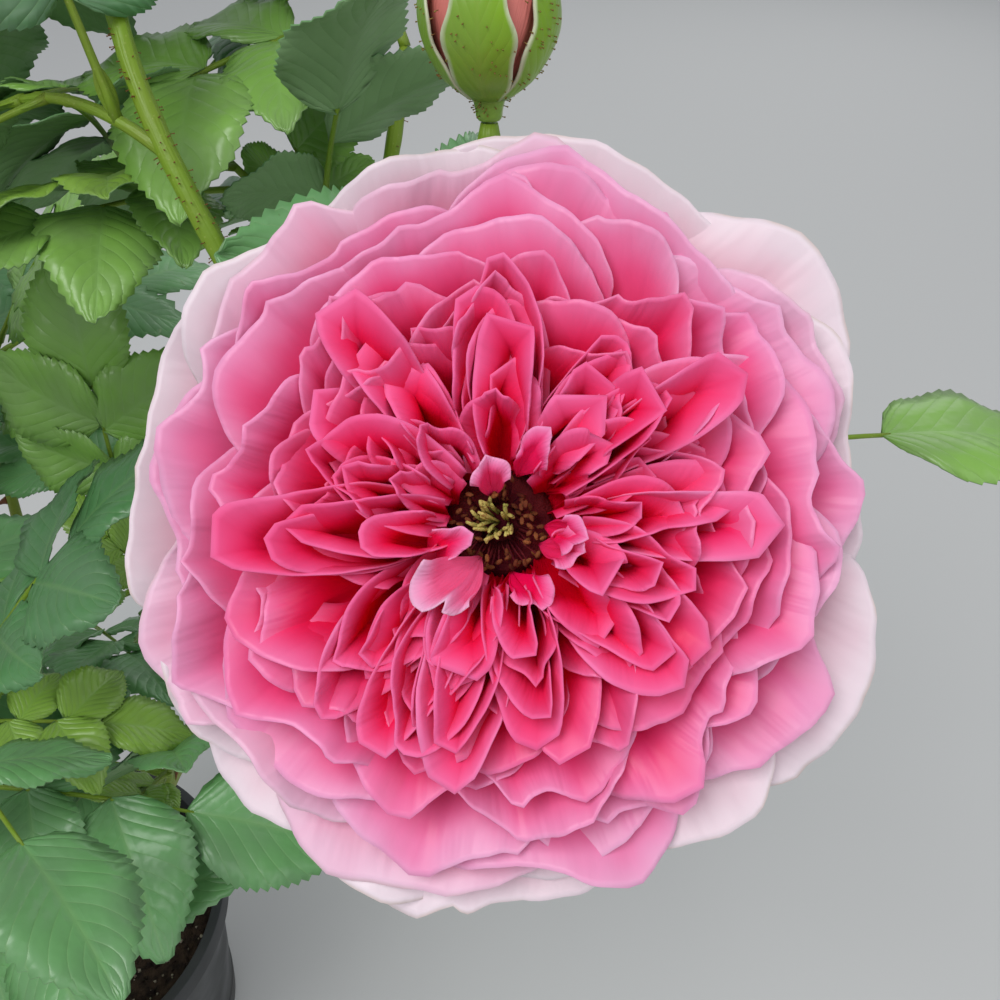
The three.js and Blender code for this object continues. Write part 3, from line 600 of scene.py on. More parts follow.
@dataclass(frozen=True)
class PetalFinish(Dress):
    """Satin petal: deep at its claw, paler at its edge and palest on its rim.

    Each of the three parts has four colours: in the heart, in the middle, in the outer petals and
    in the guard petals. The tones are where each of the four is reached. The spans say between
    which shares of the petal's length the edge, the rim and the dry margin come in. The deep claw is
    partly painted shade and the pale rim partly a painted highlight, over the petal's own deeper
    foot and paler edge.
    """

    name: str = "petal satin"
    roughness: float = 0.5
    specular: float = 0.3
    tones: tuple = (0.3, 0.62, 0.86, 1.0)
    # Painted shade in part: the deep colours stand for the shade down between the petals near their
    # claws.
    deep: tuple = ((0.92, 0.0, 0.035), (0.92, 0.005, 0.10), (0.90, 0.07, 0.25), (0.82, 0.42, 0.53))
    edge: tuple = (
        (0.85, 0.02, 0.14), (0.86, 0.07, 0.27), (0.83, 0.235, 0.475), (0.82, 0.66, 0.725)
    )
    # Painted highlight in part: the rim colours stand for light caught on the turned-over edges.
    rim: tuple = (
        (0.92, 0.16, 0.38), (0.92, 0.32, 0.58), (0.87, 0.45, 0.665), (0.85, 0.73, 0.785)
    )
    dry_edge: Colour = (0.62, 0.47, 0.34)
    edge_span: tuple = (0.58, 0.92)
    rim_span: tuple = (0.72, 1.02)
    rim_power: float = 1.8
    dry_span: tuple = (0.972, 1.0)
    dry_share: float = 0.45
    cloud_scale: float = 90.0
    cloud_drift: float = 0.22
    pleats: tuple = (10.0, 1.5, 1.0)
    pleat_depth: float = 0.0006
    pleated: float = 0.4

    def ramp(self, board: Board, tone, colours: tuple):
        """One colour for each tone, blended from four."""
        made = colours[0]
        for low, high, colour in zip(self.tones, self.tones[1:], colours[1:]):
            made = board.blend(board.spread(tone, low, high), made, colour)
        return made

    def build(self) -> bpy.types.Material:
        """The material, which reads the petals' map and their tone from heart to guard."""
        material, board, shader = self.begin()
        place = board.map()
        along = board.part(place, "Y")
        tone = board.mark("tone")
        cloud = board.noise(board.coords(), self.cloud_scale, 1.0)
        drift = board.times(board.math("SUBTRACT", cloud, 0.5), self.cloud_drift)
        height = board.plus(along, drift)
        deep, edge, rim = (self.ramp(board, tone, c) for c in (self.deep, self.edge, self.rim))
        colour = board.blend(board.spread(height, *self.edge_span), deep, edge)
        # The pale rim blended in here is partly a painted highlight on the turned-over edge.
        painted_rim_highlight = board.math("POWER", board.spread(height, *self.rim_span), self.rim_power)
        colour = board.blend(painted_rim_highlight, colour, rim)
        dry = board.times(board.spread(along, *self.dry_span), self.dry_share)
        dry = board.times(dry, board.spread(tone, 0.86, 0.95))
        dry = board.times(dry, board.spread(cloud, 0.42, 0.6))
        pleat = board.noise(board.stretched(place, self.pleats), 3.0, 1.0)
        feeds = {
            "Base Color": board.blend(dry, colour, self.dry_edge),
            "Normal": board.bump(pleat, self.pleat_depth, self.pleated),
        }
        board.feed(shader, feeds)
        return material


@dataclass(frozen=True)
class LeafFinish(Dress):
    """A quilted rose leaf in one plain green, paler below and along its veins."""

    name: str = "leaf"
    roughness: float = 0.34
    specular: float = 0.6
    top: Colour = (0.09, 0.24, 0.08)
    below: Colour = (0.19, 0.34, 0.14)
    vein: Colour = (0.26, 0.44, 0.16)
    veined: float = 0.2
    relief: float = 0.45
    margin: float = 0.0
    down: Colour = (0.66, 0.68, 0.50)
    vein_count: float = 9.0
    vein_slant: float = 0.34
    # The mottle's paler patches on the leaf's top are painted sheen.
    patch_scale: float = 55.0
    painted_sheen_amount: float = 0.8
    grain_scale: float = 420.0
    dull_below: float = 0.25

    def build(self, effects: SharedEffects) -> bpy.types.Material:
        """The material, which reads the blades' map and which side is the underside."""
        material, board, shader = self.begin()
        place = board.map()
        feeds = {"Vector": place, "Count": self.vein_count, "Slant": self.vein_slant}
        veins = effects.use("veins", board, feeds)
        # Painted sheen: paler, greyer patches mottled over the top stand for the sky's sheen on the
        # leaf.
        patch = [0.7 * c + 0.045 for c in self.top]
        upper = effects.mottle(board, self.patch_scale, self.top, patch, self.painted_sheen_amount)
        share = board.times(veins["Vein"], self.veined)
        under = board.mark("under")
        colour = board.blend(under, board.blend(share, upper["Color"], self.vein), self.below)
        if self.margin:
            aside = board.math("ABSOLUTE", board.math("SUBTRACT", board.part(place, "X"), 0.5))
            downy = board.times(board.spread(aside, 0.42, 0.49), self.margin)
            colour = board.blend(downy, colour, self.down)
        grain = board.noise(board.coords(), self.grain_scale, 0.0)
        relief = board.plus(veins["Height"], board.times(grain, 0.7))
        feeds = {
            "Base Color": colour,
            "Roughness": board.plus(board.times(under, self.dull_below), self.roughness),
            "Normal": board.bump(relief, 0.0005, self.relief),
        }
        board.feed(shader, feeds)
        return material


@dataclass(frozen=True)
class StemFinish(Dress):
    """Smooth green bark with a warmer side, pale pores and fine lengthwise ribs."""

    name: str = "cane bark"
    roughness: float = 0.45
    specular: float = 0.45
    main: Colour = (0.18, 0.31, 0.014)
    warm: Colour = (0.20, 0.13, 0.03)
    pale: Colour = (0.30, 0.38, 0.08)
    patch_scale: float = 70.0
    pore_scale: float = 700.0
    grain_scale: float = 500.0
    ribs: tuple = (9.0, 5.0, 1.0)

    def build(self, effects: SharedEffects) -> bpy.types.Material:
        """The material, which reads the limbs' map and their tone, 1 on old wood."""
        material, board, shader = self.begin()
        amount = board.plus(board.times(board.mark("tone"), 0.75), 0.12)
        bark = effects.mottle(board, self.patch_scale, self.main, self.warm, amount)
        feeds = {"Vector": board.coords(), "Scale": self.pore_scale}
        pores = board.put("ShaderNodeTexVoronoi", feeds).outputs["Distance"]
        share = board.times(board.spread(pores, 0.22, 0.1), 0.5)
        ribs = board.noise(board.stretched(board.map(), self.ribs), 2.0, 2.0)
        relief = board.plus(ribs, board.times(effects.grain(board, self.grain_scale), 0.3))
        feeds = {
            "Base Color": board.blend(share, bark["Color"], self.pale),
            "Normal": board.bump(relief, 0.0005, 0.6),
        }
        board.feed(shader, feeds)
        return material


@dataclass(frozen=True)
class RoughFinish(Dress):
    """A rough matt stuff of two mottled colours: bark, peat, grains or dry anthers."""

    name: str = "rough"
    roughness: float = 0.9
    specular: float = 0.2
    main: Colour = (0.05, 0.03, 0.02)
    patch: Colour = (0.02, 0.012, 0.008)
    scale: float = 200.0
    relief: float = 0.001

    def build(self, effects: SharedEffects) -> bpy.types.Material:
        """The material, whose tone mark darkens single grains."""
        material, board, shader = self.begin()
        stuff = effects.mottle(board, self.scale, self.main, self.patch, 1.0)
        shade = board.times(board.mark("tone"), 0.5)
        feeds = {
            "Base Color": board.blend(shade, stuff["Color"], self.patch),
            "Normal": board.bump(effects.grain(board, self.scale * 2.5), self.relief),
        }
        board.feed(shader, feeds)
        return material


@dataclass(frozen=True)
class PlasticFinish(Dress):
    """Moulded black plastic, scuffed and dusty."""

    name: str = "pot plastic"
    roughness: float = 0.38
    specular: float = 0.5
    main: Colour = (0.018, 0.021, 0.024)
    dust: Colour = (0.10, 0.095, 0.085)
    patch_scale: float = 28.0
    dusty_below: float = 0.05
    grain_scale: float = 900.0

    def build(self, effects: SharedEffects) -> bpy.types.Material:
        """The material, dustier towards the foot."""
        material, board, shader = self.begin()
        low = board.spread(board.part(board.coords(), "Z"), self.dusty_below, 0.0)
        amount = board.plus(board.times(low, 0.35), 0.12)
        skin = effects.mottle(board, self.patch_scale, self.main, self.dust, amount)
        grain = effects.grain(board, self.grain_scale)
        feeds = {
            "Base Color": skin["Color"],
            "Roughness": board.plus(board.times(skin["Mask"], 0.22), self.roughness),
            "Normal": board.bump(grain, 0.00008, 0.5),
        }
        board.feed(shader, feeds)
        return material


def ripple(x: Array, y: Array, length: float, seed: float) -> Array:
    """A soft uneven height between about -1 and 1: five sines laid across each other.

    Args:
        x: places along the first way.
        y: places along the second way.
        length: the longest wave.
        seed: the seed of the waves' ways and phases.

    Returns:
        One height for each place.
    """
    total = np.zeros(np.broadcast(x, y).shape)
    for k in range(5):
        way = TURN * chance(seed, k)
        number = TURN / length * (1 + 0.55 * k)
        phase = TURN * chance(seed, k + 10)
        total += np.sin((x * np.cos(way) + y * np.sin(way)) * number + phase) / (1 + 0.4 * k)
    return total / 2.4


def add_piece(
    name: str,
    skins: Sequence[Skin],
    materials: Sequence[bpy.types.Material],
    nodes: Sequence[str],
    place: Array | None = None,
    kinds: Sequence[int] | None = None,
) -> bpy.types.Object:
    """Puts a piece on the plant, in place of the solids that it stands for.

    Args:
        name: the piece's name.
        skins: the closed skins that it is joined from.
        materials: its materials.
        nodes: the solids that it replaces.
        place: the matrix that carries the skins to their place, if they aren't there yet.
        kinds: the number of each skin's material, if it has more than one.

    Returns:
        The new object.
    """
    skin = Skin.joined(skins)
    if place is not None:
        skin = skin.moved(place)
    numbers = np.zeros(len(skins), int) if kinds is None else np.asarray(kinds)
    mesh = skin.mesh(name, np.repeat(numbers, [s.face_count for s in skins]))
    for material in materials:
        mesh.materials.append(material)
    piece = placed(name, mesh)
    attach(piece, "root")
    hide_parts(*nodes)
    log.info("%s: %d triangles", name, sum(len(p.vertices) - 2 for p in mesh.polygons))
    return piece


def placed(name: str, data: bpy.types.ID) -> bpy.types.Object:
    """A new object of the scene that holds a mesh, a lamp or a camera."""
    thing = bpy.data.objects.new(name, data)
    bpy.context.scene.collection.objects.link(thing)
    return thing


def frame_from(origin: Sequence[float], facing: Sequence[float]) -> Array:
    """A 4 by 4 matrix that carries the upright axis to a facing by the shortest turn.

    Args:
        origin: where the frame sits.
        facing: where its third axis points.

    Returns:
        The matrix.
    """
    ahead = unit(np.asarray(facing, float))
    axis = np.cross(SKY, ahead)
    angle = math.acos(float(ahead[2]))
    matrix = np.eye(4)
    if np.linalg.norm(axis) > 1e-6:
        axis = unit(axis)
        matrix[:3, :3] = np.stack([spun(row, axis, angle) for row in np.eye(3)], axis=1)
    matrix[:3, 3] = origin
    return matrix


@dataclass
class Pot:
    """The nursery pot: a turned plastic shell with a rim band, ribs and drain holes."""

    height: float = 165.0
    rim_radius: float = 90.0
    foot_radius: float = 66.0
    wall: float = 2.2
    floor: float = 3.0
    band_height: float = 15.0
    overhang: float = 3.6
    lip: float = 1.2
    step_height: float = 22.0
    sides: int = 144
    drain_holes: int = 8
    drain_radius: float = 4.5
    drain_ring: float = 50.0
    drain_span: tuple = (-3, 6)
    crease: float = math.radians(38)

    def wall_radius(self, height: float) -> float:
        """The radius of the outer wall at a height."""
        slope = (self.rim_radius - self.overhang - self.foot_radius) / self.height
        return self.foot_radius + slope * height

    def profile(self) -> Array:
        """The wall from the middle of the foot, up outside, over the rim and down to the floor."""
        band = self.height - self.band_height
        out = self.wall_radius
        step = self.step_height
        line = [
            [0, 0],
            [self.foot_radius - self.lip, 0],
            [out(self.lip), self.lip],
            [out(step) - 0.1, step],
            [out(step) - 0.9, step + 1.2],
            [out(band - 6) - 0.7, band - 6],
            [out(band), band - 1],
            [self.rim_radius - self.lip, band],
            [self.rim_radius, band + self.lip],
            [self.rim_radius, self.height - self.lip],
            [self.rim_radius - 0.3, self.height - 0.35],
            [self.rim_radius - self.lip, self.height],
            [out(self.height) - self.wall + 0.4, self.height],
            [out(self.height) - self.wall, self.height - 0.6],
            [out(self.floor) - self.wall, self.floor],
            [0, self.floor],
        ]
        return np.asarray(line, float)

    def build(self, plastic: bpy.types.Material) -> None:
        """Turns the shell, bores the drain holes and puts the pot in place."""
        shell_skin = lathe(self.profile(), self.sides)
        piece = add_piece("pot_shell", [shell_skin], [plastic], ["pot"])
        low, high = self.drain_span
        line = [[0, low], [self.drain_radius, low], [self.drain_radius, high], [0, high]]
        peg = lathe(np.array(line, float), 24)
        borers = []
        for place in about_axis(self.drain_ring, 0.0, round_turn(self.drain_holes), 0.0):
            borers.append(peg.moved(frame_from(place, SKY)))
        borer = Skin.joined(borers)
        cutter = placed("borers", borer.mesh("borers", np.zeros(borer.face_count)))
        cut = piece.modifiers.new("drains", "BOOLEAN")
        cut.operation = "DIFFERENCE"
        cut.solver = "EXACT"
        cut.object = cutter
        bpy.context.view_layer.update()
        seen = piece.evaluated_get(bpy.context.evaluated_depsgraph_get())
        done = bpy.data.meshes.new_from_object(seen)
        piece.modifiers.clear()
        piece.data = done
        bpy.data.objects.remove(cutter)
        edges = piece.modifiers.new("edges", "EDGE_SPLIT")
        edges.split_angle = self.crease


@dataclass
class PottingMix:
    """The potting mix: a rough peat surface with crumbs of bark and pale grains pressed into it."""

    low: float = 3.3
    edge_height: float = 147.0
    mound: float = 5.0
    flat_radius: float = 20.0
    gap: float = 2.6
    roughness: float = 1.1
    rings: int = 70
    sides: int = 180
    wall_radius: float = 83.0
    bare_radius: float = 19.0
    pale_grains: int = 260
    pale_sizes: tuple = (0.7, 1.9)
    crumbs: int = 620
    crumb_sizes: tuple = (0.7, 2.2)

    def surface(self, radius: Array, turn: Array) -> Array:
        """The height of the mix: a cosine mound with uneven ripples that fade at the wall."""
        slope = (radius - self.flat_radius) / (self.wall_radius - self.flat_radius)
        share = np.clip(slope, 0, 1)
        base = self.edge_height + self.mound * (0.5 + 0.5 * np.cos(math.pi * share))
        x, y = radius * np.cos(turn), radius * np.sin(turn)
        fine = ripple(x, y, 9.0, 3.0) + 0.6 * ripple(x, y, 3.5, 5.0)
        return base + self.roughness * fine - 0.8

    def build(self, pot: Pot, peat: bpy.types.Material, pale: bpy.types.Material) -> None:
        """Makes the body of the mix with its crumbs, and the pale grains."""
        outer = pot.wall_radius(self.edge_height) - self.gap
        foot = pot.wall_radius(self.low) - self.gap
        radius = np.linspace(outer, 0.6, self.rings)[:, None]
        turn = round_turn(self.sides)
        top = about_axis(radius, 0.0, turn, self.surface(radius, turn))
        below = about_axis(np.array([[0.5], [foot]]), 0.0, turn, self.low)
        peak = SKY * self.surface(np.array(0.0), np.array(0.0))
        body = ringed(np.concatenate([below, top]), SKY * self.low, peak)
        body.uv = body.points[:, :2] * 0.01
        crumbs = self.scatter(self.crumbs, outer, self.crumb_sizes, 41)
        grit = self.scatter(self.pale_grains, outer, self.pale_sizes, 57)
        add_piece("peat", [body, crumbs], [peat], ["potting_mix"])
        add_piece("pale_grains", [grit], [pale], ["potting_mix"])

    def scatter(self, count: int, outer: float, sizes: tuple, seed: int) -> Skin:
        """Grains strewn over the surface, each with its middle a little above it."""
        item = np.arange(count)
        small, large = sizes
        radius = self.bare_radius + (outer - 2 - self.bare_radius) * np.sqrt(chance(seed, item))
        turn = TURN * chance(seed, item + 1000)
        size = small + (large - small) * chance(seed, item + 2000) ** 2
        height = self.surface(radius, turn) + size * 0.25
        return grains(about_axis(radius, 0.0, turn, height), size, seed)


@dataclass
class Crown:
    """The woody knob that the canes rise from, with a flared foot, lumps and lengthwise cracks."""

    base: float = 152.3
    height: float = 30.0
    foot_radius: float = 17.0
    waist_radius: float = 11.0
    knob_radius: float = 13.5
    sides: int = 72

    def build(self, bark: bpy.types.Material) -> None:
        """Turns the knob, then roughens it with lumps and lengthwise cracks."""
        low, tall = self.base - 2.5, self.height
        line = [
            [0, low],
            [self.foot_radius + 1.0, low],
            [self.foot_radius - 1.5, low + 3.5],
            [self.waist_radius, self.base + tall * 0.28],
            [self.knob_radius, self.base + tall * 0.62],
            [self.knob_radius * 0.8, self.base + tall * 0.88],
            [self.knob_radius * 0.45, self.base + tall],
            [0, self.base + tall],
        ]
        profile = smoothed(line, 3)
        turn = round_turn(self.sides)
        height = profile[1:-1, 1:]
        lumps = 1 + 0.09 * (np.sin(turn * 3 + 0.6) + 0.55 * np.sin(turn * 5))[None]
        cracks = 0.05 * ripple(turn * 14, height * 0.6, 9.0, 8.0)
        knob = lathe(profile, self.sides, lumps + cracks)
        add_piece("crown_bark", [knob], [bark], ["crown"])


@dataclass(frozen=True)
class Limb:
    """A tapering limb: the Bezier path of its axis, its radii, and how woody and prickly it is."""

    path: tuple
    wide: float
    narrow: float
    age: float = 0.2
    prickles: int = 0
    bristles: int = 0
    slot: str = "cane"


# Where the bloom and the bud sit and face, and where the main cane forks to their stalks.
BLOOM_CENTRE = (250.0, -130.0, 619.0)
BLOOM_FACING = (0.0, -1.0, 1.0)
BUD_CENTRE = (248.0, -56.5, 671.5)
BUD_FACING = (0.0, 0.22, 0.97)
FORK = (212.0, -50.0, 520.0)


def on_axis(frame_matrix: Array, depth: float) -> tuple:
    """The point of a frame's upright axis at a height."""
    return tuple(frame_matrix[:3, 3] + frame_matrix[:3, 2] * depth)


BLOOM_FRAME = frame_from(BLOOM_CENTRE, BLOOM_FACING)
BUD_FRAME = frame_from(BUD_CENTRE, BUD_FACING)
# Heights along the way that the bloom or the bud faces, from its centre, and the hips' lengths.
HIP_TOP = -35.3
HIP_LENGTH = 12.0
BUD_FOOT = -10.5
BUD_HIP_LENGTH = 6.5

LIMBS: dict[str, Limb] = {
    "cane_main": Limb(
        ((8, -6, 170), (76, -22, 236), (112, 10, 395), FORK), 5.2, 3.4, 0.45, 16
    ),
    "cane_side": Limb(
        ((197, -44, 490), (222, -46, 570), (172, -38, 614), (159, 8, 654)), 3.0, 2.4, 0.0, 0, 240
    ),
    "cane_behind": Limb(
        ((120, -8, 372), (176, 20, 470), (210, 22, 545), (222, 62, 622)), 3.2, 2.2, 0.1, 5, 60
    ),
    "cane_front": Limb(
        ((2, -9, 168), (30, -60, 230), (22, -88, 330), (46, -78, 420)), 4.2, 2.6, 0.3, 13
    ),
    "cane_left": Limb(
        ((-8, -5, 168), (-60, -16, 230), (-92, -34, 340), (-112, -22, 450)), 4.2, 2.4, 0.5, 12
    ),
    "cane_back": Limb(
        ((4, 9, 168), (22, 50, 240), (6, 96, 330), (8, 122, 430)), 4.0, 2.4, 0.4, 12
    ),
    "cane_back_left": Limb(
        ((-6, 6, 168), (-32, 44, 250), (-58, 66, 380), (-64, 92, 500)), 4.4, 2.5, 0.6, 14
    ),
    "cane_middle": Limb(
        ((-1, 1, 172), (-12, 8, 290), (24, 6, 430), (14, 14, 560)), 4.6, 2.5, 0.5, 15
    ),
    "bloom_stalk": Limb(
        (
            FORK,
            (232, -62, 548),
            on_axis(BLOOM_FRAME, HIP_TOP - HIP_LENGTH - 26),
            on_axis(BLOOM_FRAME, HIP_TOP - HIP_LENGTH - SEAT),
        ),
        2.8,
        2.5,
        0.0,
        2,
        170,
    ),
    "bud_stalk": Limb(
        (
            FORK,
            (214, -46, 560),
            on_axis(BUD_FRAME, BUD_FOOT - 60),
            on_axis(BUD_FRAME, BUD_FOOT - BUD_HIP_LENGTH - 2 * SEAT),
        ),
        2.6,
        2.2,
        0.0,
        1,
        260,
    ),
}


@dataclass(frozen=True)
class Spike:
    """A kind of spike: its length, how far it hooks back, and how it is shaped.

    wide is its half width at the foot, or fat is that as a share of its length. It narrows by a
    power, ends in a knob, and its foot is drawn out along the limb by the ridge.
    """

    length: float
    hook: float
    stations: int
    sides: int
    power: float
    wide: float = 0.0
    fat: float = 0.0
    knob: float = 1.0
    ridge: float = 0.0


PRICKLE = Spike(length=5.5, hook=0.42, stations=6, sides=7, power=1.1, fat=0.24, ridge=0.9)
BRISTLE = Spike(
    length=1.5, hook=0.12, stations=4, sides=4, power=0.6, wide=0.17, knob=1.25 / 0.16**0.6
)


@dataclass
class Canes:
    """The canes and flower stalks with their nodes, prickles and bristles."""

    sides: int = 18
    step: float = 2.6
    node_gap: float = 34.0

    def cane(self, limb: Limb, seed: int) -> Skin:
        """One limb: a tube whose radius falls evenly, swells at its nodes and is a little uneven."""
        rough_length = np.linalg.norm(np.diff(np.asarray(limb.path, float), axis=0), axis=1).sum()
        count = max(12, int(rough_length / self.step))
        t = np.linspace(0, 1, count)
        path = bezier(limb.path, t)
        run = t * rough_length
        swell = np.exp(-(((run / self.node_gap + chance(seed, 3)) % 1 - 0.5) * 9) ** 2)
        radius = limb.wide + (limb.narrow - limb.wide) * t
        radius = radius * (1 + 0.07 * swell)
        turn = round_turn(self.sides)
        uneven = 1 + 0.03 * ripple(turn[None] * 4, run[:, None] * 0.4, 9.0, seed + 0.5)
        radii = radius[:, None] * uneven
        radii[-1] *= 0.75
        return tube(path, radii, self.sides, limb.age)

    def spikes(self, limb: Limb, seed: int, count: int, kind: Spike) -> list[Skin]:
        """Spikes set round a limb, each a small cone that hooks down towards the limb's foot.

        Args:
            limb: the limb that carries them.
            seed: the seed of their places.
            count: how many there are.
            kind: their kind.

        Returns:
            One skin for each.
        """
        made = []
        for i in range(count):
            t = 0.06 + 0.9 * (i + 0.8 * chance(seed, i)) / count
            turn = TURN * chance(seed, i + 300)
            ahead = heading(limb.path, t)
            out = spun(unit(np.cross([0.0, 1.0, 0.0], ahead)), ahead, turn)
            radius = limb.wide + (limb.narrow - limb.wide) * t
            size = kind.length * (0.6 + 0.5 * chance(seed, i + 600))
            foot = bezier(limb.path, t)[0] + out * (radius * 0.86)
            tip = foot + out * size - ahead * size * kind.hook
            stations = np.linspace(0, 1, kind.stations)
            path = bezier([foot, foot + out * size * 0.55, tip], stations)
            taper = np.linspace(1, 0.16, kind.stations) ** kind.power
            taper[-1] *= kind.knob
            wide = kind.wide or size * kind.fat
            spike = tube(path, wide * taper, kind.sides, 1.0)
            lean = (spike.points - foot) @ ahead
            fall = 1 - np.clip((spike.points - foot) @ out / size, 0, 1)
            spike.points = spike.points + (kind.ridge * lean * fall)[:, None] * ahead
            made.append(spike)
        return made

    def build(self, bark: bpy.types.Material, thorn: bpy.types.Material) -> None:
        """Makes each limb as a piece of its own, its spikes a second material of it."""
        for number, (name, limb) in enumerate(LIMBS.items()):
            body = self.cane(limb, number + 1)
            spikes = self.spikes(limb, number + 20, limb.prickles, PRICKLE)
            spikes += self.spikes(limb, number + 40, limb.bristles, BRISTLE)
            kinds = [0] + [1] * len(spikes)
            stuffs = [bark, thorn]
            add_piece(name + "_bark", [body, *spikes], stuffs, [name], kinds=kinds)


# How a petal's rows crowd towards its rim, then the widths of the rim's marks by its half width.
ROW_EASE = 1.4
PEAK_WIDTH = 0.4
TIP_WIDTH = 0.13
EAR_WIDTH = 0.1
EAR_GAP = 0.5
NOTCH_WIDTH = 0.07
# The height of the rim's finest waves by its half width, and where the petal is at its full width.
CRINKLE = 0.006
OPEN_BY = 0.8
# Where the lip starts, how far it drops by its length, and how high the petal's soft dents are.
LIP_START = 0.8
LIP_DROP = 0.45
CRUMPLE = 0.35


@dataclass(frozen=True)
class PetalForm:
    """One petal in the bloom's frame, where the third axis points out of the bloom's face.

    turn: the way it stands. reach: how far its tip is from the axis. half: its half width.
    depth: how much nearer to the axis its sides end than its tip. claw: the height of its foot.
    claw_radius: how far its foot is from the axis. height: the height of its tip. bow and rise: how
    its middle line goes out and up. lip: how far its edge turns over. ruffle: how far its edge
    waves. point: the length of the small tip. peak: how far its middle runs out. keel: how deep the
    valley in its middle is. swirl: how far it twists. tilt: how much higher one side stands.
    taper: how far its sides close in towards the eye. fold: how sharply its rim is bent.
    droop: how far its sides sink. wiggle: how far its rim winds to and fro. skew: how far
    aside its tip may be, with a second smaller tip on the other side. notch: how deep a
    nick in its rim is, at notch_at. tone: 0 in the heart and 1 at the guard petals.
    """

    turn: float
    reach: float
    half: float
    depth: float
    claw: float
    height: float
    tone: float
    claw_radius: float = 5.0
    bow: float = 0.85
    rise: float = 1.35
    lip: float = 1.6
    ruffle: float = 0.9
    point: float = 1.6
    peak: float = 1.5
    keel: float = 0.8
    swirl: float = 0.0
    tilt: float = 0.0
    taper: float = 0.0
    fold: float = 2.3
    droop: float = 1.2
    wiggle: float = 0.9
    skew: float = 0.0
    notch: float = 0.0
    notch_at: float = 0.25
    seed: float = 1.0

    def surface(self, rows: int, columns: int) -> Array:
        """The petal's middle surface.

        Seen from above its rim is an arc: the reach less the depth times a power of u, by the half
        width times a sine of u, with a tip, a smaller tip or ear, and sines that wind it. Every
        point lies on a line from the claw to the rim, which goes out by a power of v and up by
        another. The last part turns over along the rim's own outward way, and drops.

        Args:
            rows: points from claw to rim.
            columns: points from side to side.

        Returns:
            Rows by columns by 3.
        """
        share, u = sheet_map(rows, columns)
        v = 1 - (1 - share) ** ROW_EASE
        one, two, three = (TURN * chance(self.seed, k) for k in (1, 2, 3))
        tip_at = self.skew * sway(self.seed, 5)
        ear_at = tip_at - math.copysign(EAR_GAP, tip_at)
        rim_out = self.reach - self.depth * np.abs(u) ** self.fold
        rim_out = rim_out + 0.6 * self.ruffle * np.sin(5.5 * u + one)
        rim_out = rim_out + self.peak * np.exp(-(((u - tip_at) / PEAK_WIDTH) ** 2))
        rim_out = rim_out + self.point * np.exp(-np.abs(u - tip_at) / TIP_WIDTH)
        rim_out = rim_out + self.skew * self.point * np.exp(-np.abs(u - ear_at) / EAR_WIDTH)
        rim_side = self.half * np.sin(1.5 * u) * (1 - self.taper * np.abs(u) ** 2.6)

        run_out, run_side = np.gradient(rim_out, axis=1), np.gradient(rim_side, axis=1)
        norm = np.hypot(run_out, run_side) + 1e-6
        outward, aside = run_side / norm, -run_out / norm
        wind = np.sin(7 * u + three) + 0.3 * np.sin(14 * u + one) + 0.8 * np.sin(4 * u + two)
        wind = 0.6 * self.wiggle * wind * (1 - 0.4 * u**2)
        wind = wind + CRINKLE * self.half * np.sin(31 * u + two)
        rim_out = rim_out + wind * outward
        rim_out = rim_out - self.notch * np.exp(-(((u - self.notch_at) / NOTCH_WIDTH) ** 2))
        rim_side = rim_side + wind * aside

        width = 0.1 + 0.9 * np.sin(np.clip(v / OPEN_BY, 0, 1) * math.pi / 2)
        out = self.claw_radius + (rim_out - self.claw_radius) * v**self.bow
        side = rim_side * width
        wave = self.ruffle * (np.sin(4.4 * u + two) + 0.5 * np.sin(9.5 * u + three))
        top = self.height - self.droop * u**2
        up = self.claw + (top - self.claw) * v**self.rise
        up = up + (wave + self.tilt * u) * v**3.5
        up = up - self.keel * np.exp(-np.abs(u) / 0.3) * v * (1.5 - v)

        turned = np.clip((v - LIP_START) / (1 - LIP_START), 0, 1) ** 2
        turned = turned * (1 - 1.2 * self.taper * np.abs(u)) * (0.8 + 0.5 * np.sin(3.6 * u + one))
        out = out + self.lip * turned * outward
        side = side + self.lip * turned * aside
        up = up - LIP_DROP * self.lip * turned
        up = up + CRUMPLE * v * ripple(u * 9 + self.seed, v * 9, 7.0, self.seed + 4)
        return about_axis(out, side, self.turn + self.swirl * v, up)


# The middle, the spread and the series' number of each measure that differs between petals.
BROAD_PETAL = {
    "rise": (1.3, 0.12, 14),
    "lip": (2.4, 1.44, 9),
    "ruffle": (1.6, 0.8, 10),
    "point": (3.4, 1.8, 11),
    "peak": (1.2, 1.6, 15),
    "keel": (2.4, 1.8, 12),
    "swirl": (0.0, 0.14, 13),
    "tilt": (1.0, 1.4, 16),
    "wiggle": (0.5, 0.35, 17),
}
NEST_PETAL = {
    "lip": (3.0, 1.2, 37),
    "ruffle": (1.7, 0.6, 38),
    "point": (2.9, 1.6, 39),
    "peak": (1.8, 1.4, 48),
    "keel": (3.0, 1.2, 51),
    "tilt": (0.0, 1.6, 41),
    "fold": (1.75, 0.35, 50),
    "droop": (8.5, 1.5, 42),
    "wiggle": (0.45, 0.3, 43),
}


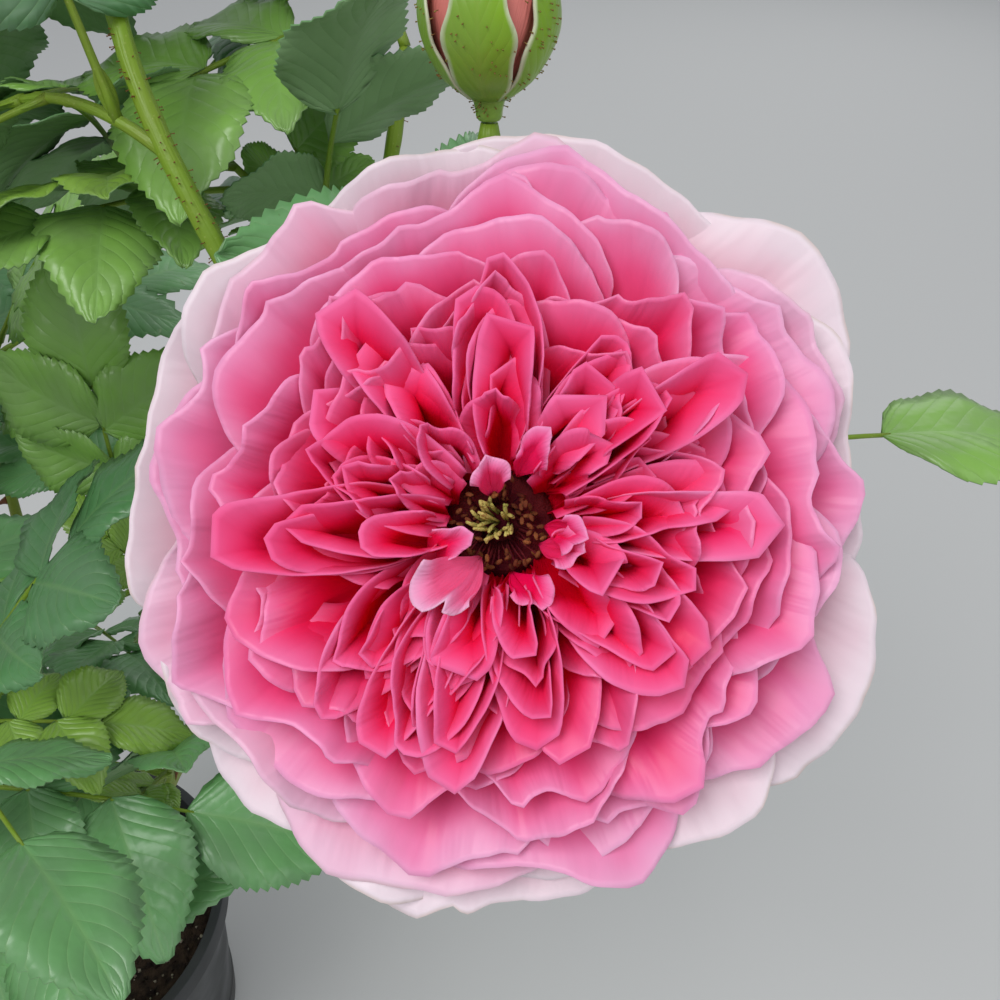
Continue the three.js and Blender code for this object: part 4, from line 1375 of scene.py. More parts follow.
@dataclass
class Bloom:
    """The bloom: guard petals, a spiral of petals and, inside, nests of folded petals round the eye.

    A nest is a few narrow petals bent to a U that opens towards the eye, one inside the other. The
    spiral sets each petal a golden angle on from the last and farther out. The guard petals are
    given by the degrees they stand at, their reach and their half width.
    """

    guards: tuple = (
        (102, 65.5, 26),
        (75, 67.0, 29),
        (42, 67.5, 31),
        (8, 64.0, 26),
        (-28, 65.5, 28),
        (-66, 63.0, 24),
        (-97, 67.5, 29),
        (-128, 66.0, 27),
        (-158, 62.5, 26),
        (168, 65.5, 28),
        (136, 62.5, 25),
    )
    eye_petals: tuple = (
        (104, 4.5, 9.5, 1.9, 3.0, 0.75, 0.3),
        (-121, 6.5, 15.5, 4.1, 8.5, 0.88, -0.4),
        (-4, 7.5, 11.5, 2.0, 7.0, 0.65, -0.5),
        (-28, 7.5, 12.0, 2.2, 6.0, 0.7, -0.5),
        (70, 8.5, 14.0, 2.2, 6.5, 0.65, 0.8),
        (-158, 13.0, 7.5, 2.2, 4.5, 0.65, 0.6),
        (-76, 8.5, 13.0, 2.2, 5.0, 0.6, 0.5),
    )
    spiral_petals: int = 64
    spiral_start: float = 27.0
    spiral_end: float = 61.5
    nest_count: int = 17
    nested: int = 4
    nest_reach: float = 31.5
    nest_half: float = 6.5
    nest_hollow: float = 11.6
    nest_brow: float = 37.0
    thick: float = 0.42
    heart_reach: float = 14.0
    guard_reach: float = 65.0
    guard_sunk: float = 1.8
    notched: float = -97
    notch: float = 3.4
    broad_grid: tuple = (20, 47)
    nest_grid: tuple = (16, 41)
    small_grid: tuple = (14, 27)
    brow: float = 9.5
    brow_reach: float = 24.0
    fall: float = 21.5

    def tone(self, reach: float) -> float:
        """0 at the heart's reach and 1 at the guard petals' reach."""
        return (reach - self.heart_reach) / (self.guard_reach - self.heart_reach)

    def tip_height(self, reach: float) -> float:
        """The height of a petal's tip: it falls by a power of reach, and is low between nests."""
        share = max(0.0, reach - self.brow_reach) / (self.guard_reach - self.brow_reach)
        return self.brow - self.fall * share**1.35 - 0.3 * max(0.0, self.nest_brow - reach)

    def claw_height(self, reach: float) -> float:
        """The height of a petal's foot: lower for the petals that reach farther."""
        return -14.0 - 20.0 * max(0.0, self.tone(reach)) ** 0.8

    def skin(self, form: PetalForm, rows: int, columns: int) -> Skin:
        """A petal as a closed shell that thins to its edge."""
        v, u = sheet_map(rows, columns)
        thin = 1 - 0.45 * np.maximum(np.abs(u), v) ** 5
        return shell(form.surface(rows, columns), self.thick * thin, form.tone)

    def broad(self, degrees: float, reach: float, half: float, k: float, tone: float) -> Skin:
        """A broad petal of the spiral or the guard, a little different in each measure.

        Args:
            degrees: the way it stands.
            reach: how far its tip is from the axis.
            half: its half width.
            k: its number in the seeded series.
            tone: its place from heart to guard.

        Returns:
            The closed skin in the bloom's frame.
        """
        measures = varied(BROAD_PETAL, k)
        sunk = 0.0
        if tone == 1:
            sunk = self.guard_sunk
            measures["point"] *= 0.4
            measures["peak"] *= 0.3
        form = PetalForm(
            turn=math.radians(degrees),
            reach=reach,
            half=half * (1 + 0.22 * sway(5.0, k)),
            depth=0.27 * reach * (1 + 0.25 * sway(6.0, k)),
            claw=self.claw_height(reach) - sunk,
            height=self.tip_height(reach) + 1.3 * sway(7.0, k) - sunk,
            tone=np.clip(tone, 0, 1),
            droop=4.2 + 3.0 * max(0.0, min(tone, 1.0)),
            skew=0.5,
            notch=self.notch if degrees == self.notched else 0.0,
            notch_at=-0.2,
            seed=20.0 + k,
            **measures,
        )
        return self.skin(form, *self.broad_grid)

    def spiral(self, first: int, last: int) -> list[Skin]:
        """The petals of the spiral from one number to another."""
        made = []
        for n in range(first, last):
            share = n / (self.spiral_petals - 1)
            reach = self.spiral_start + (self.spiral_end - self.spiral_start) * share
            turn = n * GOLDEN_TURN
            uneven = math.sin(3 * turn + 1.0) + 0.7 * math.sin(5 * turn + 2.0)
            reach = reach + 1.7 * sway(3.0, n) + 1.3 * (1 - share) * uneven
            degrees = math.degrees(turn) + 11 * sway(4.0, n)
            tone = self.tone(reach) + 0.06 * sway(8.0, n)
            made.append(self.broad(degrees, reach, 10.5 + 13.5 * share, n, min(tone, 0.92)))
        return made

    def guard(self) -> list[Skin]:
        """The pale petals at the back."""
        return [
            self.broad(degrees, reach, half, 80.0 + i, 1.0)
            for i, (degrees, reach, half) in enumerate(self.guards)
        ]

    def nests(self) -> list[Skin]:
        """The folded petals of the heart, nest by nest from the outside in."""
        made = []
        for i in range(self.nest_count):
            turn = TURN * (i + 0.3 * sway(44.0, i)) / self.nest_count
            outer = self.nest_reach + 5.0 * sway(45.0, i)
            half = self.nest_half * (1 + 0.3 * sway(46.0, i))
            lift = 1.8 * sway(47.0, i)
            lean = 0.3 * sway(40.0, i)
            for j in range(self.nested):
                k = 10 * i + j
                share = j / self.nested
                reach = outer + (self.nest_hollow - outer) * share + 1.6 * sway(31.0, k)
                form = PetalForm(
                    turn=turn + 0.07 * sway(32.0, k),
                    reach=reach,
                    half=half * (1 - 0.6 * share) * (1 + 0.2 * sway(33.0, k)),
                    depth=(reach - 8.6) * (0.82 + 0.2 * sway(34.0, k)),
                    claw=-20.0 + 6.0 * share,
                    height=8.2 + lift - 1.5 * share + 1.2 * sway(35.0, k),
                    tone=np.clip(self.tone(reach) + 0.08 * sway(36.0, k), 0, 1),
                    claw_radius=7.0,
                    bow=0.5,
                    rise=1.4,
                    swirl=lean + 0.07 * sway(49.0, k),
                    taper=0.45,
                    skew=0.15,
                    seed=120.0 + k,
                    **varied(NEST_PETAL, k),
                )
                made.append(self.skin(form, *self.nest_grid))
        return made

    def petaloids(self) -> list[Skin]:
        """Small petals that lean in over the eye or stand up round it.

        Each is given by the degrees it stands at, the reach of its foot and of its tip, its half
        width, the height of its tip, its tone, and how far it is folded down like a hood, or
        cupped where that is below zero.
        """
        made = []
        for i, (degrees, foot, tip, half, height, tone, hood) in enumerate(self.eye_petals):
            outward = math.copysign(1.0, tip - foot)
            largest = half == max(petal[3] for petal in self.eye_petals)
            form = PetalForm(
                turn=math.radians(degrees),
                reach=tip,
                half=half,
                depth=(0.45 + 0.15 * hood) * (tip - foot),
                claw=height - 13.0 + 3.0 * max(hood, 0.0),
                height=height,
                tone=tone,
                claw_radius=foot,
                bow=1.0,
                rise=0.8,
                lip=1.2 * outward,
                ruffle=0.9 if largest else 0.35,
                point=0.8 * outward,
                peak=outward,
                fold=2.3 - 0.5 * hood,
                keel=-0.7 * hood,
                droop=1.2 + 2.0 * hood,
                swirl=0.25 * sway(54.0, i),
                wiggle=0.35,
                notch=2.4 if largest else 0.0,
                seed=200.0 + i,
            )
            made.append(self.skin(form, *self.small_grid))
        return made

    def build(self, satin: bpy.types.Material, deep: bpy.types.Material) -> None:
        """Makes the guard, the spiral in two halves, the heart and its small petals as pieces."""
        half = self.spiral_petals // 2
        groups = {
            "petals_guard": (self.guard(), satin),
            "petals_outer": (self.spiral(half, self.spiral_petals), satin),
            "petals_inner": (self.spiral(0, half), satin),
            "petals_heart": (self.nests(), deep),
            "petals_eye": (self.petaloids(), deep),
        }
        for name, (skins, stuff) in groups.items():
            add_piece(name, skins, [stuff], ["bloom"], BLOOM_FRAME)


@dataclass
class Eye:
    """The eye of the bloom: a dark disc, a ring of stamens and a pale tuft of styles."""

    floor: float = -12.5
    disc_radius: float = 9.5
    stamens: int = 70
    styles: int = 28
    style_height: float = 8.4
    tuft_shift: tuple = (-1.6, 0.4, 0.0)
    filament_radius: float = 0.17
    anther_radius: float = 0.42
    anther_half: float = 0.7
    style_radii: tuple = (0.2, 0.22, 0.26, 0.32, 0.38, 0.24)

    def strand(self, turn: float, start: float, end: float, top: float, curl: float) -> Array:
        """A strand from the disc that leans out and curls sideways at its tip."""
        way = np.array([math.cos(turn), math.sin(turn), 0.0])
        aside = np.array([-math.sin(turn), math.cos(turn), 0.0])
        foot = way * start + SKY * self.floor
        bend = way * (start * 0.6 + end * 0.4) + SKY * (self.floor + top * 0.7)
        tip = way * end + aside * curl + SKY * (self.floor + top)
        return bezier([foot, bend, tip], np.linspace(0, 1, 6))

    def stamen(self, i: int) -> tuple[Skin, Skin]:
        """A stamen: its filament, and the anther that lies across the filament's tip."""
        turn = TURN * i * SUNFLOWER + 0.2 * sway(61.0, i)
        end, top = 3.6 + 4.6 * chance(62.0, i), 3.0 + 5.0 * chance(63.0, i)
        path = self.strand(turn, 3.0, end, top, sway(64.0, i))
        filament = tube(path, np.full(len(path), self.filament_radius), 4)
        sweep = np.linspace(-self.anther_half, self.anther_half, 5)
        spin = TURN * chance(65.0, i)
        lie = unit(np.array([math.cos(spin), math.sin(spin), 0.5 * sway(66.0, i)]))
        fat = self.anther_radius * np.sqrt(1.05 - (sweep / 0.75) ** 2)
        anther = tube(path[-1] + sweep[:, None] * lie, fat, 6, chance(67.0, i))
        return filament, anther

    def style(self, i: int) -> Skin:
        """A style of the tuft, which widens to its stigma."""
        start = 2.2 * math.sqrt(chance(71.0, i))
        top = self.style_height * (0.7 + 0.3 * chance(72.0, i))
        turn = TURN * i * SUNFLOWER
        path = self.strand(turn, start, start * 1.3 + 0.9, top, 2.4 * sway(73.0, i))
        path = path + np.array(self.tuft_shift) * np.linspace(0, 1, len(path))[:, None]
        return tube(path, np.array(self.style_radii), 6, 0.3 * chance(74.0, i))

    def build(
        self,
        style_stuff: bpy.types.Material,
        anther_stuff: bpy.types.Material,
        filament_stuff: bpy.types.Material,
    ) -> None:
        """Makes the disc and filaments, the anthers and the styles as three kinds of one piece."""
        # The disc under the stamens is dark partly as painted shade of the eye's hollow.
        line = [
            [0, self.floor - 4],
            [self.disc_radius, self.floor - 3],
            [self.disc_radius, self.floor + 0.5],
            [3.0, self.floor + 0.8],
            [0, self.floor + 0.8],
        ]
        filaments, anthers = zip(*(self.stamen(i) for i in range(self.stamens)))
        styles = [self.style(i) for i in range(self.styles)]
        parts = [lathe(smoothed(line, 2), 32), *filaments, *anthers, *styles]
        kinds = np.repeat([0, 1, 2], [1 + self.stamens, self.stamens, self.styles])
        stuffs = [filament_stuff, anther_stuff, style_stuff]
        add_piece("eye", parts, stuffs, ["stamens"], BLOOM_FRAME, kinds)


@dataclass
class Sepals:
    """The two calyxes: the bloom's laid back behind it, and the bud's closed over its petals."""

    count: int = 5
    thick: float = 0.7
    hip_radius: float = 6.0
    long_turn: float = 2.72
    long_tip: tuple = (67.0, -24.0)
    short_tip: tuple = (34.0, -39.0)
    lobes: tuple = ((0.42, 2.6), (0.58, 3.2), (0.72, 2.0))
    half_width: float = 4.6
    bud_radius: float = 11.4
    bud_length: float = 25.0
    bud_stand: float = 0.9
    bud_turn: float = 0.8
    bud_petals: int = 6
    blade_grid: tuple = (34, 9)
    bud_blade_grid: tuple = (30, 15)
    furled_grid: tuple = (30, 24)
    hair_length: float = 0.9
    hair_radius: float = 0.08
    glands: int = 220

    def blade(self, turn: float, tip: tuple, seed: int) -> Skin:
        """A laid back sepal: a curve from the hip to the tip, with narrow lobes on its sides.

        Its half width is a sine along it times a fall to the tip, widened at each lobe.

        Args:
            turn: the way it points.
            tip: the radius and height of its tip.
            seed: the seed of its lobes.

        Returns:
            The closed skin in the bloom's frame.
        """
        v, u = sheet_map(*self.blade_grid)
        foot = (self.hip_radius * 0.5, HIP_TOP - 1)
        bend = (tip[0] * 0.5, HIP_TOP - 1.5)
        line = bezier([foot, bend, tip], v[:, 0])
        width = self.half_width * (0.7 + 0.5 * np.sin(v * 2.4)) * (1 - 0.93 * v**1.5)
        lobes = sum(size * np.exp(-(((v - at) / 0.028) ** 2)) for at, size in self.lobes)
        reach = width + lobes * np.abs(u) ** 6 * (0.6 + 0.4 * np.sign(u) * sway(seed, 1))
        up = line[:, 1:] + 0.9 * u**2 - 0.5 * (1 - u**2) + 0.5 * np.sin(v * 9 + seed)
        thick = self.thick * (1 - 0.5 * np.abs(u) ** 3)
        return shell(about_axis(line[:, :1], u * reach, turn, up), thick)

    def build_bloom(self, green: bpy.types.Material) -> None:
        """The hip under the bloom and its five sepals."""
        r, top = self.hip_radius, HIP_TOP
        line = [
            [0, top - HIP_LENGTH],
            [r * 0.45, top - HIP_LENGTH],
            [r * 0.8, top - HIP_LENGTH * 0.75],
            [r * 1.05, top - HIP_LENGTH * 0.3],
            [r, top],
            [0, top + 1.5],
        ]
        parts = [lathe(smoothed(line, 2), 28)]
        for i in range(self.count):
            turn = self.long_turn + TURN * i / self.count
            short = (self.short_tip[0] + 5 * chance(5, i), self.short_tip[1])
            parts.append(self.blade(turn, self.long_tip if i == 0 else short, i + 1))
        add_piece("bloom_sepals", parts, [green], ["bloom_calyx"], BLOOM_FRAME)

    def egg(self, t: Array) -> Array:
        """The bud's radius at a share of its length: a power of a sine."""
        swing = np.sin(math.pi * np.clip(0.12 + 0.86 * t, 0, 1) ** 1.05)
        return self.bud_radius * np.maximum(swing, 0) ** 0.52

    def bud_blade(self, turn: float, seed: int) -> Skin:
        """A sepal that hugs the egg and runs past it to a fine tip, with a pale rolled margin."""
        v, u = sheet_map(*self.bud_blade_grid)
        t = -0.1 + v * 1.16
        sunk = np.maximum(0, -t) * 36
        past = np.maximum(0, t - 1)
        radius = self.egg(np.clip(t, 0, 1)) + self.bud_stand - sunk + 0.5 * np.abs(u) ** 4
        radius = radius + 0.2 * np.sin(v * 12 + seed) * np.abs(u)
        width = 0.62 * (1 - 0.82 * v**1.7) + 0.03 * np.sin(v * 21 + seed * 2)
        angle = turn + u * width
        height = BUD_FOOT + t * self.bud_length + past * 24
        thick = self.thick * (1 - 0.4 * np.abs(u) ** 3)
        return shell(about_axis(radius, 0.0, angle, height), thick)

    def furled(self, i: int) -> Skin:
        """A petal of the bud, wrapped round the egg and a little aside from the one before."""
        v, u = sheet_map(*self.furled_grid)
        radius = self.egg(v * 0.985) * (0.92 + 0.035 * u)
        angle = TURN * i / self.bud_petals + u * 0.95 + 0.7 * v
        height = BUD_FOOT + v * self.bud_length * (1.0 + 0.012 * i)
        return shell(about_axis(radius, 0.0, angle, height), 0.5, 0.86 + 0.02 * i)

    def gland_hair(self, i: int, profile: Array) -> Skin:
        """A short hair with a wider tip, on the bud's sepals or, lower down, on its hip."""
        t = -0.25 + 0.95 * chance(81.0, i)
        turn = TURN * chance(82.0, i)
        height = BUD_FOOT + t * self.bud_length
        stand = self.egg(max(t, 0.0)) + self.bud_stand
        radius = stand if t > 0 else np.interp(height, profile[:-1, 1], profile[:-1, 0])
        out = np.array([math.cos(turn), math.sin(turn), -0.25])
        foot = out * [radius, radius, 0] + SKY * height
        path = foot + unit(out) * np.linspace(0, self.hair_length, 3)[:, None]
        return tube(path, self.hair_radius * np.array([1, 1, 2]), 4)

    def build_bud(
        self,
        green: bpy.types.Material,
        satin: bpy.types.Material,
        gland: bpy.types.Material,
    ) -> None:
        """The furled petals, then the hip with its sepals and gland-tipped hairs."""
        petals = [self.furled(i) for i in range(self.bud_petals)]
        add_piece("bud_furled", petals, [satin], ["bud_petals"], BUD_FRAME)
        floor = BUD_FOOT - SEAT
        line = [
            [0, floor - BUD_HIP_LENGTH],
            [2.4, floor - BUD_HIP_LENGTH],
            [2.6, floor - BUD_HIP_LENGTH * 0.6],
            [3.4, floor - BUD_HIP_LENGTH * 0.3],
            [5.6, floor - BUD_HIP_LENGTH * 0.1],
            [self.egg(0.0) + 0.6, floor],
            [0, floor + 1.5],
        ]
        profile = smoothed(line, 2)
        parts = [lathe(profile, 36)]
        parts += [self.bud_blade(TURN * i / self.count + self.bud_turn, i) for i in range(self.count)]
        hairs = [self.gland_hair(i, profile) for i in range(self.glands)]
        kinds = [0] * len(parts) + [1] * len(hairs)
        stuffs = [green, gland]
        add_piece("bud_sepals", parts + hairs, stuffs, ["bud_calyx"], BUD_FRAME, kinds)


class Detail(Enum):
    """How finely a leaf's outline is cut: teeth on each side, and points across it."""

    FINE = (18, 7)
    PLAIN = (9, 5)


class Hue(Enum):
    """The greens that are dealt out to the leaves, one to a spray."""

    BLUE = (0.145, 0.36, 0.125)
    FRESH = (0.22, 0.44, 0.075)
    DARK = (0.09, 0.25, 0.085)
    YOUNG = (0.27, 0.48, 0.06)


@dataclass(frozen=True)
class Mass:
    """A mass of foliage: the limb that carries its stem, where, and the rule's numbers."""

    on: str
    at: float
    bend: tuple
    tip: tuple
    leaves: int
    size: float
    first: float
    open: float
    seed: int
    detail: Detail = Detail.PLAIN

    @property
    def piece(self) -> str:
        """The piece that its leaves are joined into."""
        if self.detail is Detail.PLAIN:
            return "leaves_far"
        return "leaves_front" if self.tip[2] < 600 else "leaves_top"


MASSES: dict[str, Mass] = {
    "foliage_side_stalk": Mass(
        "cane_side", 0.78, (152, -8, 640), (130, 6, 630), 3, 50, 1.5, 1.0, 11, Detail.FINE
    ),
    "foliage_side_top": Mass(
        "cane_side", 1, (150, 26, 682), (140, 38, 700), 4, 48, 4.8, 1.45, 52, Detail.FINE
    ),
    "foliage_behind_top": Mass(
        "cane_behind", 1, (216, 72, 638), (202, 78, 648), 4, 52, 6.0, 1.45, 93, Detail.FINE
    ),
    "foliage_behind_low": Mass(
        "cane_behind", 0.69, (184, 44, 576), (164, 54, 592), 4, 52, 1.2, 1.1, 14, Detail.FINE
    ),
    "foliage_right": Mass(
        "cane_main", 0.99, (242, -46, 538), (272, -44, 546), 3, 56, 4.8, 1.45, 55, Detail.FINE
    ),
    "foliage_right_low": Mass(
        "cane_main", 0.85, (214, -2, 462), (246, 12, 468), 3, 52, 1.5, 1.1, 16
    ),
    "foliage_main_low": Mass(
        "cane_main", 0.49, (108, -20, 345), (114, -28, 366), 3, 48, 0, 1.0, 17, Detail.FINE
    ),
    "foliage_main_left": Mass(
        "cane_main", 0.73, (112, 22, 436), (92, 44, 442), 4, 50, 2.7, 1.1, 18, Detail.FINE
    ),
    "foliage_front_top": Mass(
        "cane_front", 1, (60, -66, 442), (72, -58, 458), 4, 56, 3.9, 1.1, 99, Detail.FINE
    ),
    "foliage_front_low": Mass(
        "cane_front", 0.67, (38, -92, 346), (40, -106, 356), 3, 54, 4.2, 1.0, 100, Detail.FINE
    ),
    "foliage_front_left": Mass(
        "cane_front", 0.44, (-14, -86, 292), (-34, -100, 300), 3, 50, 0.9, 1.1, 21
    ),
    "foliage_left_top": Mass(
        "cane_left", 1, (-114, -16, 472), (-112, -12, 492), 4, 50, 0.6, 1.1, 22
    ),
    "foliage_left_low": Mass(
        "cane_left", 0.63, (-104, -46, 346), (-116, -60, 350), 3, 48, 1.7, 1.1, 23
    ),
    "foliage_back_top": Mass(
        "cane_back", 1, (14, 126, 452), (26, 126, 470), 4, 50, 0.3, 1.1, 104
    ),
    "foliage_back_low": Mass(
        "cane_back", 0.55, (46, 98, 326), (66, 104, 332), 3, 46, 2.8, 1.1, 25
    ),
    "foliage_back_left_top": Mass(
        "cane_back_left", 1, (-66, 98, 522), (-64, 100, 542), 4, 50, 2.4, 1.1, 26
    ),
    "foliage_back_left_low": Mass(
        "cane_back_left", 0.64, (-78, 80, 384), (-92, 86, 388), 3, 48, 0.5, 1.1, 27
    ),
    "foliage_middle_top": Mass(
        "cane_middle", 1, (10, 16, 584), (4, 18, 606), 4, 50, 1.4, 1.1, 28, Detail.FINE
    ),
    "foliage_middle_low": Mass(
        "cane_middle", 0.7, (-18, -8, 462), (-34, -18, 470), 3, 48, 1.1, 1.1, 29
    ),
}


@dataclass
class Leaflet:
    """Where a leaflet grows: its root, the way it points, the way it faces, and its length."""

    root: Array
    way: Array
    up: Array
    size: float

    def square_up(self) -> Array:
        """The facing made square to the way it points."""
        return unit(self.up - self.way * float(self.up @ self.way))

    def kite(self, fat: float, cut: float = 0.0) -> tuple[Array, list]:
        """The plain eight-faced blade of the rule, as points and faces for a touch test.

        Args:
            fat: how much it is fattened.
            cut: the share of its root end that is left out.

        Returns:
            Six points and eight triangles.
        """
        way, up, length = self.way, self.square_up(), self.size
        side = np.cross(up, way)
        half = length * 0.34
        middle = self.root + way * length * 0.46
        belly = self.root + way * length * max(0.3, cut + 0.12)
        thick = 0.5 + fat
        points = np.array(
            [
                self.root + way * (length * cut - (0.5 if cut == 0 else 0)),
                middle + side * (half + fat) + up * half * 0.2,
                self.root + way * (length + fat) - up * length * 0.06,
                middle - side * (half + fat) + up * half * 0.2,
                belly + up * thick,
                belly - up * thick,
            ]
        )
        faces = []
        for i in range(4):
            after = (i + 1) % 4
            faces += [(after, i, 4), (i, after, 5)]
        return points, faces

    def touch_test(self, fat: float = 0.0, cut: float = 0.15) -> BVHTree:
        """A tree of the plain blade's faces, fattened and with its root end left out."""
        points, faces = self.kite(fat, cut)
        return BVHTree.FromPolygons(points.tolist(), faces)


@dataclass
class Foliage:
    """The masses of foliage: stems, compound leaves by the source's rule, and young leaves."""

    stem_radius: float = 1.75
    stem_span: tuple = (0.3, 0.98)
    lowest_way: float = -0.35
    lowest_young_way: float = -0.2
    fewest_young: int = 3
    past_box: float = 2.0
    leaf_half_width: float = 0.35
    bite: float = 0.33
    wing_span: float = 2.4
    young_leaves: int = 4
    young_size: float = 0.62
    clearance: float = 0.6
    leaf_thick: float = 0.42
    stalk_radius: float = 0.95
    solids: dict[str, BVHTree] = field(default_factory=dict)
    blades: dict[str, list] = field(default_factory=dict)
    stalks: list[Skin] = field(default_factory=list)
    taken: dict[str, list] = field(default_factory=dict)

    def read_solids(self) -> None:
        """Makes a touch test from every solid of the plant."""
        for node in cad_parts:
            thing = bpy.data.objects.get(node)
            if thing is not None and thing.type == "MESH":
                mesh = thing.data
                points = np.empty(len(mesh.vertices) * 3)
                mesh.vertices.foreach_get("co", points)
                points = points.reshape(-1, 3) / METRE
                faces = [tuple(p.vertices) for p in mesh.polygons]
                self.solids[node] = BVHTree.FromPolygons(points.tolist(), faces)

    def touches(self, blade: Leaflet, own: str) -> bool:
        """True where a fattened leaflet meets a solid of the plant or a leaflet of its own mass."""
        tree = blade.touch_test(self.clearance, 0.0)
        if any(name != own and tree.overlap(other) for name, other in self.solids.items()):
            return True
        return self.crosses(blade, own)

    def crosses(self, blade: Leaflet, own: str) -> bool:
        """True where a leaflet cuts a leaflet of its own mass."""
        slim = blade.touch_test()
        return any(slim.overlap(other) for other in self.taken[own])

    def grew(self, blade: Leaflet, own: str) -> bool:
        """True where the rule kept this leaflet: its corners then lie on its mass's solid."""
        points, _ = blade.kite(0.0)
        gaps = [self.solids[own].find_nearest(tuple(points[k]))[3] for k in (1, 2, 3)]
        return sum(gap < 0.5 for gap in gaps) >= 2

    def shoot(self, stem: list, at: float, turn: float, open_: float, low: float) -> tuple:
        """Where a leaf leaves a stem, and the way it starts.

        Args:
            stem: the stem's control points.
            at: the share of the stem.
            turn: its turn round the stem.
            open_: the angle between the leaf and the stem.
            low: how far down it may point.

        Returns:
            The place and the way.
        """
        foot, run = bezier(stem, at)[0], heading(stem, at)
        across = spun(unit(np.cross(SKY, run)), run, turn)
        ahead = run * math.cos(open_) + across * math.sin(open_)
        ahead[2] = max(ahead[2], low)
        return foot, ahead

    def leaf(
        self, foot: Array, ahead: Array, size: float, roll: float, droop: float
    ) -> tuple[list[Array], list[Leaflet]]:
        """A compound leaf by the rule: its stalk's curve and its five leaflets.

        Args:
            foot: where its stalk starts.
            ahead: the way it starts.
            size: the length of its end leaflet.
            roll: its turn about its own way.
            droop: how far its tip sinks, as a share of its length.

        Returns:
            The stalk's three control points, and the leaflets.
        """
        way = unit(ahead)
        length = size * 1.5
        up = SKY - way * float(SKY @ way)
        if np.linalg.norm(up) < 0.25:
            up = np.array([0.0, -1.0, 0.0]) + way * way[1]
        up = spun(unit(up), way, roll)
        curve = [foot, foot + way * length * 0.55, foot + way * length - SKY * length * droop]
        made = []
        for at, share, angle in LEAFLET_PAIRS:
            for hand in (-1, 1):
                spot = at + hand * 1.6 / length
                root, run = bezier(curve, spot)[0], heading(curve, spot)
                facing = unit(up - run * float(up @ run))
                made.append(Leaflet(root, spun(run, facing, hand * angle), facing, size * share))
        made.append(Leaflet(bezier(curve, 0.97)[0], heading(curve, 1.0), up, size))
        return curve, made

    def blade(self, leaflet: Leaflet, detail: Detail, seed: float) -> Skin:
        """One toothed leaflet.

        Its half width is a power of a sine along it, and every second point of its edge stands out
        and forward as a tooth. The two halves rise from the midrib and arch over, and the tip
        sinks.

        Args:
            leaflet: where it grows.
            detail: how finely it is cut.
            seed: the seed of its curl.

        Returns:
            The closed skin.
        """
        teeth, across = detail.value
        stations = 2 * teeth + 1
        s, q = sheet_map(stations, across)
        length = leaflet.size
        outline = np.sin(math.pi * s**0.8) ** 0.74 * (1 - 0.22 * s**5)
        width = self.leaf_half_width * length * outline + 0.35
        tooth = (np.arange(stations) % 2)[:, None] * (np.abs(q) == 1)
        bite = self.bite * length / teeth
        reach = width + tooth * bite * (0.35 + np.sin(math.pi * s))
        forward = s * length + tooth * bite * 0.9
        lateral = q * reach
        curl = 0.10 + 0.22 * chance(seed, 1)
        fold = 0.34 + 0.2 * chance(seed, 2)
        rise = width * (fold * np.abs(q) - curl * q**2 * 1.4)
        rise = rise - length * (0.10 + 0.10 * chance(seed, 3)) * s**2
        rise = rise + length * 0.03 * np.sin(math.pi * s)
        rise = rise + length * 0.022 * np.sin(s * 17 + seed * 3) * q**2
        rise = rise + length * 0.03 * sway(seed, 4) * np.sin(s * 4) * q
        up = leaflet.square_up()
        side = np.cross(leaflet.way, up)
        middle = (
            leaflet.root
            + forward[..., None] * leaflet.way
            + lateral[..., None] * side
            + rise[..., None] * up
        )
        return shell(middle, self.leaf_thick)

    def stalk(self, curve: list[Array], thick: float, young: bool) -> list[Skin]:
        """A leaf's stalk, thicker at its foot, with two small wings there."""
        t = np.linspace(0, 1, 12)
        path = bezier(curve, t)
        radii = thick * (1.25 - 0.6 * t) + 0.5 * np.exp(-t * 22)
        parts = [tube(path, radii, 7, 0.35 if young else 0.1)]
        way = heading(curve, 0.05)
        side = unit(np.cross(SKY, way) + 1e-6)
        v = np.linspace(0.02, 1, 8)[:, None]
        for hand in (-1, 1):
            u = np.linspace(0, 1, 3)[None]
            span = self.wing_span * thick * np.sin(math.pi * np.clip(v * 0.8 + 0.1, 0, 1)) * u * hand
            run = bezier(curve, 0.16 * v[:, 0])
            middle = run[:, None] + span[..., None] * side + (0.3 * u + 0 * v)[..., None] * SKY
            if hand < 0:
                middle = middle[:, ::-1]
            parts.append(shell(middle, 0.3, 0.1))
        return parts

    def hue(self, seed: float, young: bool) -> Hue:
        """The green of one spray."""
        if young:
            return Hue.YOUNG if chance(seed, 7) < 0.55 else Hue.FRESH
        roll = chance(seed, 8)
        if roll < 0.5:
            return Hue.BLUE
        return Hue.FRESH if roll < 0.8 else Hue.DARK

    def keep(self, blade: Leaflet, mass: Mass, own: str, hue: Hue, seed: float) -> None:
        """Stores a leaflet's skin and marks its space as taken."""
        self.taken[own].append(blade.touch_test())
        self.blades.setdefault(mass.piece, []).append((self.blade(blade, mass.detail, seed), hue))

    def settle(self, blade: Leaflet, own: str) -> Leaflet:
        """A leaflet turned a little about its own way where it would cut another of its mass."""
        for turn in (0.0, 0.3, -0.3, 0.6, -0.6, 0.9, -0.9):
            up = spun(blade.square_up(), blade.way, turn)
            tried = Leaflet(blade.root, blade.way, up, blade.size)
            if not self.crosses(tried, own):
                return tried
        return blade

